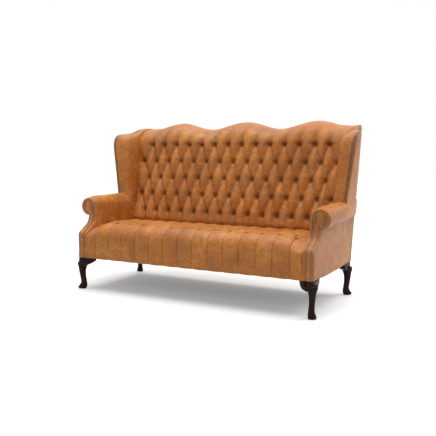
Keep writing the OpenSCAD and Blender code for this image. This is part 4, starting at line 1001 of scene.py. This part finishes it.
nailMesh = domeTemplate(nailLook)
for side, sign in sides:
    for name, node, spots in (("facingNails", "facing_nails_", facingNails), ("wingNails", "wing_nails_", wingNails)):
        copiesPiece(name + side.capitalize(), [(nailMesh, spot) for spot in spots(sign)], "pewter", node + side)

def backSpot(s, v):
    z = topRow - v * rowDrop
    return s * pitch - endPull(s), tuftY(z) - buttonLook["sunk"], z

def seatSpot(s, v):
    down = v * seatLook["rowStep"]
    return s * pitch, noseY + down * math.cos(seatSlope), seatLook["height"] - down * math.sin(seatSlope)

def buttonCopies(rows, spot, way):
    # Rows of 14 and 15 buttons in turn
    found = []
    for v in range(rows):
        last = 7 if v % 2 else 6.5
        found += [(buttonMesh, standing(spot(s, v), way, s)) for s in np.arange(-last, last + 0.1)]
    return found


buttonMesh = domeTemplate(buttonLook)
backWay, seatWay = (0, -math.cos(rake), math.sin(rake)), (0, math.sin(seatSlope), math.cos(seatSlope))
copiesPiece("backButtons", buttonCopies(5, backSpot, backWay), "leather_dark", "back_buttons")
copiesPiece("seatButtons", buttonCopies(4, seatSpot, seatWay), "leather_dark", "seat_buttons")
print("nails and buttons made")


# Cabriole legs: a block, a round knee, a slim ankle set in and a foot that points outward
legLook = {
    "block": 0.068, "blockFoot": 0.190, "blockBevel": 0.005, "sides": 20,
    # Height, distance of the middle from the corner along the diagonal, half length, half width
    "steps": (
        (0.2020, 0.0470, 0.0440, 0.0420),
        (0.1940, 0.0380, 0.0455, 0.0400),
        (0.1840, 0.0300, 0.0420, 0.0365),
        (0.1720, 0.0252, 0.0368, 0.0305),
        (0.1560, 0.0240, 0.0295, 0.0240),
        (0.1380, 0.0222, 0.0258, 0.0208),
        (0.1150, 0.0222, 0.0232, 0.0180),
        (0.0850, 0.0257, 0.0208, 0.0174),
        (0.0600, 0.0297, 0.0201, 0.0185),
        (0.0450, 0.0317, 0.0205, 0.0197),
        (0.0340, 0.0300, 0.0240, 0.0210),
        (0.0240, 0.0262, 0.0276, 0.0230),
        (0.0140, 0.0210, 0.0315, 0.0258),
        (0.0060, 0.0190, 0.0305, 0.0255),
        (0.0022, 0.0200, 0.0270, 0.0225),
    ),
    "setBack": (0.002, 0.007), "sharpAngle": 40,
}
bracketLook = {
    "front": (0.037, 1.0),  # length, and how much of the sweep back it has
    "side": (0.052, 0.08), "wide": 0.026,
    "root": 0.064,  # depth and reach of its end under the block
    "under": 0.028,
    # Place as a share of the length, depth under the rail, distance back
    "steps": (
        (-0.45, 0.060, 0),
        (0, 0.052, 0.001),
        (0.3, 0.046, 0.010),
        (0.6, 0.039, 0.024),
        (0.82, 0.032, 0.036),
        (0.95, 0.025, 0.043),
        (1, 0.014, 0.045),
    ),
    "bevel": 0.003,
}

def legTemplate():
    look = legLook
    (z, away, length, width), *others = look["steps"]
    spot = (-away, 0, z)
    bpy.ops.mesh.primitive_circle_add(vertices=look["sides"], radius=1, fill_type="NGON", location=(0, 0, 0))
    editStart()
    bpy.ops.transform.resize(value=(length, width, 1), center_override=(0, 0, 0))
    bpy.ops.transform.translate(value=spot)
    for z, away, nextLength, nextWidth in others:
        goal = (-away, 0, z)
        extrude([p - q for p, q in zip(goal, spot)], (nextLength / length, nextWidth / width, 1), goal)
        spot, length, width = goal, nextLength, nextWidth
    bpy.ops.object.mode_set(mode="OBJECT")
    leg = bpy.context.object
    leg.rotation_euler.z = math.radians(-45)
    leg.location = (*look["setBack"], 0)
    bpy.ops.object.transform_apply(location=True, rotation=True, scale=True)
    smoother = leg.modifiers.new("smooth", "SUBSURF")
    smoother.levels = smoother.render_levels = 1
    bpy.ops.object.modifier_apply(modifier="smooth")
    half = look["block"] / 2
    spot = (-half, half, (look["blockFoot"] + hem) / 2)
    bpy.ops.mesh.primitive_cube_add(size=look["block"], location=spot)
    editStart()
    flat = (hem - look["blockFoot"]) / look["block"]
    bpy.ops.transform.resize(value=(1, 1, flat), center_override=spot)
    bpy.ops.mesh.bevel(offset=look["blockBevel"], segments=3, affect="EDGES")
    bpy.ops.object.mode_set(mode="OBJECT")
    bpy.ops.object.transform_apply(location=True, rotation=True, scale=True)
    leg.select_set(True)
    bpy.context.view_layer.objects.active = leg
    bpy.ops.object.join()
    return takeTemplate(leg)

def bracketTemplate(length, sweep):
    look = bracketLook
    before = look["root"]
    spot = (look["under"], look["wide"] / 2, hem - before / 2)
    bpy.ops.mesh.primitive_plane_add(size=before, location=spot, rotation=(0, math.pi / 2, 0))
    bpy.ops.object.transform_apply(location=True, rotation=True, scale=True)
    editStart()
    bpy.ops.transform.resize(value=(1, look["wide"] / before, 1), center_override=spot)
    at, was = -look["under"] / length, 0
    for share, deep, back in look["steps"]:
        move = ((at - share) * length, (back - was) * sweep, 0)
        extrude(move, (1, 1, deep / before), (0, 0, hem))
        at, before, was = share, deep, back
    bpy.ops.mesh.select_all(action="SELECT")
    bpy.ops.mesh.normals_make_consistent(inside=False)
    bpy.ops.mesh.select_all(action="DESELECT")
    bpy.ops.mesh.select_mode(type="EDGE")
    bpy.ops.mesh.edges_select_sharp(sharpness=0.9)
    bpy.ops.mesh.bevel(offset=look["bevel"], segments=2, affect="EDGES")
    return takeTemplate(bpy.context.object)


legMesh = legTemplate()
frontBracket, sideBracket = bracketTemplate(*bracketLook["front"]), bracketTemplate(*bracketLook["side"])
frontPlace = Matrix.Translation((-legLook["block"], 0, 0))
turnToSide = Matrix(((0, -1, 0, 0), (-1, 0, 0, 0), (0, 0, 1, 0), (0, 0, 0, 1)))
sidePlace = Matrix.Translation((0, legLook["block"], 0)) @ turnToSide
bracketParts = []
for end, cornerY, flip in (("front", facingFront, 1), ("rear", rearY(hem), -1)):
    for side, sign in sides:
        corner = Matrix.Translation((sign * halfWidth, cornerY, 0)) @ Matrix.Diagonal((sign, flip, 1, 1))
        name = "leg" + end.capitalize() + side.capitalize()
        copiesPiece(name, [(legMesh, corner)], "mahogany", "leg_" + end + "_" + side, legLook["sharpAngle"])
        bracketParts += [(frontBracket, corner @ frontPlace), (sideBracket, corner @ sidePlace)]
copiesPiece("kneeBrackets", bracketParts, "mahogany", "knee_brackets", legLook["sharpAngle"])
print("legs made")


# Studio: pale floor, white surroundings seen by the camera, large soft lamps
studioLook = {
    "white": 0.97,  # the floor as it is seen, and as it lights the object
    "floorBounce": 0.45, "floorGlow": 0.17, "surroundings": (1, 0.985, 0.97, 1),
    "surroundingsPower": 0.48, "sunPower": 1.86, "sunSpread": 50, "sunTilt": -6,
    # Place, target, size and power
    "lamps": {
        "rightSoftbox": ((2.3, 1.2, 2.3), (0.85, 0.1, 0.75), (1.1, 0.9), 18),
        "frontFill": ((0.6, -4.2, 2.8), (0, 0, 0.95), (2.6, 1.6), 16),
        "overhead": ((-0.8, -0.3, 3.1), (-0.1, -0.1, 0.7), (3.4, 1.3), 16),
    },
}

def seenRays(tree):
    # 1 for what the camera sees, straight or in a mirror or glass
    path = tree.nodes.new("ShaderNodeLightPath").outputs
    bounced = combine(tree, "MAXIMUM", path["Is Glossy Ray"], path["Is Transmission Ray"])
    return combine(tree, "MAXIMUM", path["Is Camera Ray"], bounced)


bpy.ops.mesh.primitive_plane_add(size=40, location=(0, 0, 0))
floor = bpy.context.object
floor.name = "floor"
material, tree, shader = newMaterial("paleFloor")
setInputs(shader, {"Roughness": 0.9, "Emission Color": grey(1)})
seen = seenRays(tree)
tone = blendColour(tree, seen, grey(studioLook["floorBounce"]), grey(studioLook["white"]))
tree.links.new(tone, shader.inputs["Base Color"])
glow = addNode(tree, "ShaderNodeMath", {1: studioLook["floorGlow"]}, {0: seen}, operation="MULTIPLY")
tree.links.new(glow.outputs[0], shader.inputs["Emission Strength"])
floor.data.materials.append(material)

world = bpy.data.worlds.new("studio")
bpy.context.scene.world = world
world.use_nodes = True
tree = world.node_tree
tree.nodes.clear()
around = addNode(tree, "ShaderNodeBackground", {
    "Color": studioLook["surroundings"], "Strength": studioLook["surroundingsPower"]})
white = addNode(tree, "ShaderNodeBackground", {"Color": grey(1), "Strength": 1.0})
chosen = addNode(tree, "ShaderNodeMixShader", links={0: seenRays(tree), 1: around.outputs[0], 2: white.outputs[0]})
addNode(tree, "ShaderNodeOutputWorld", links={0: chosen.outputs[0]})

sunData = bpy.data.lights.new("skyPanel", "SUN")
sunData.energy = studioLook["sunPower"]
sunData.angle = math.radians(studioLook["sunSpread"])
addObject("skyPanel", sunData, turn=(math.radians(studioLook["sunTilt"]), 0, 0))
for name, (place, target, size, power) in studioLook["lamps"].items():
    data = bpy.data.lights.new(name, "AREA")
    data.shape = "RECTANGLE"
    data.size, data.size_y = size
    data.energy = power
    aim = (Vector(target) - Vector(place)).to_track_quat("-Z", "Y").to_euler()
    addObject(name, data, place, aim)
bpy.context.scene.view_settings.view_transform = "Standard"
print("studio made")
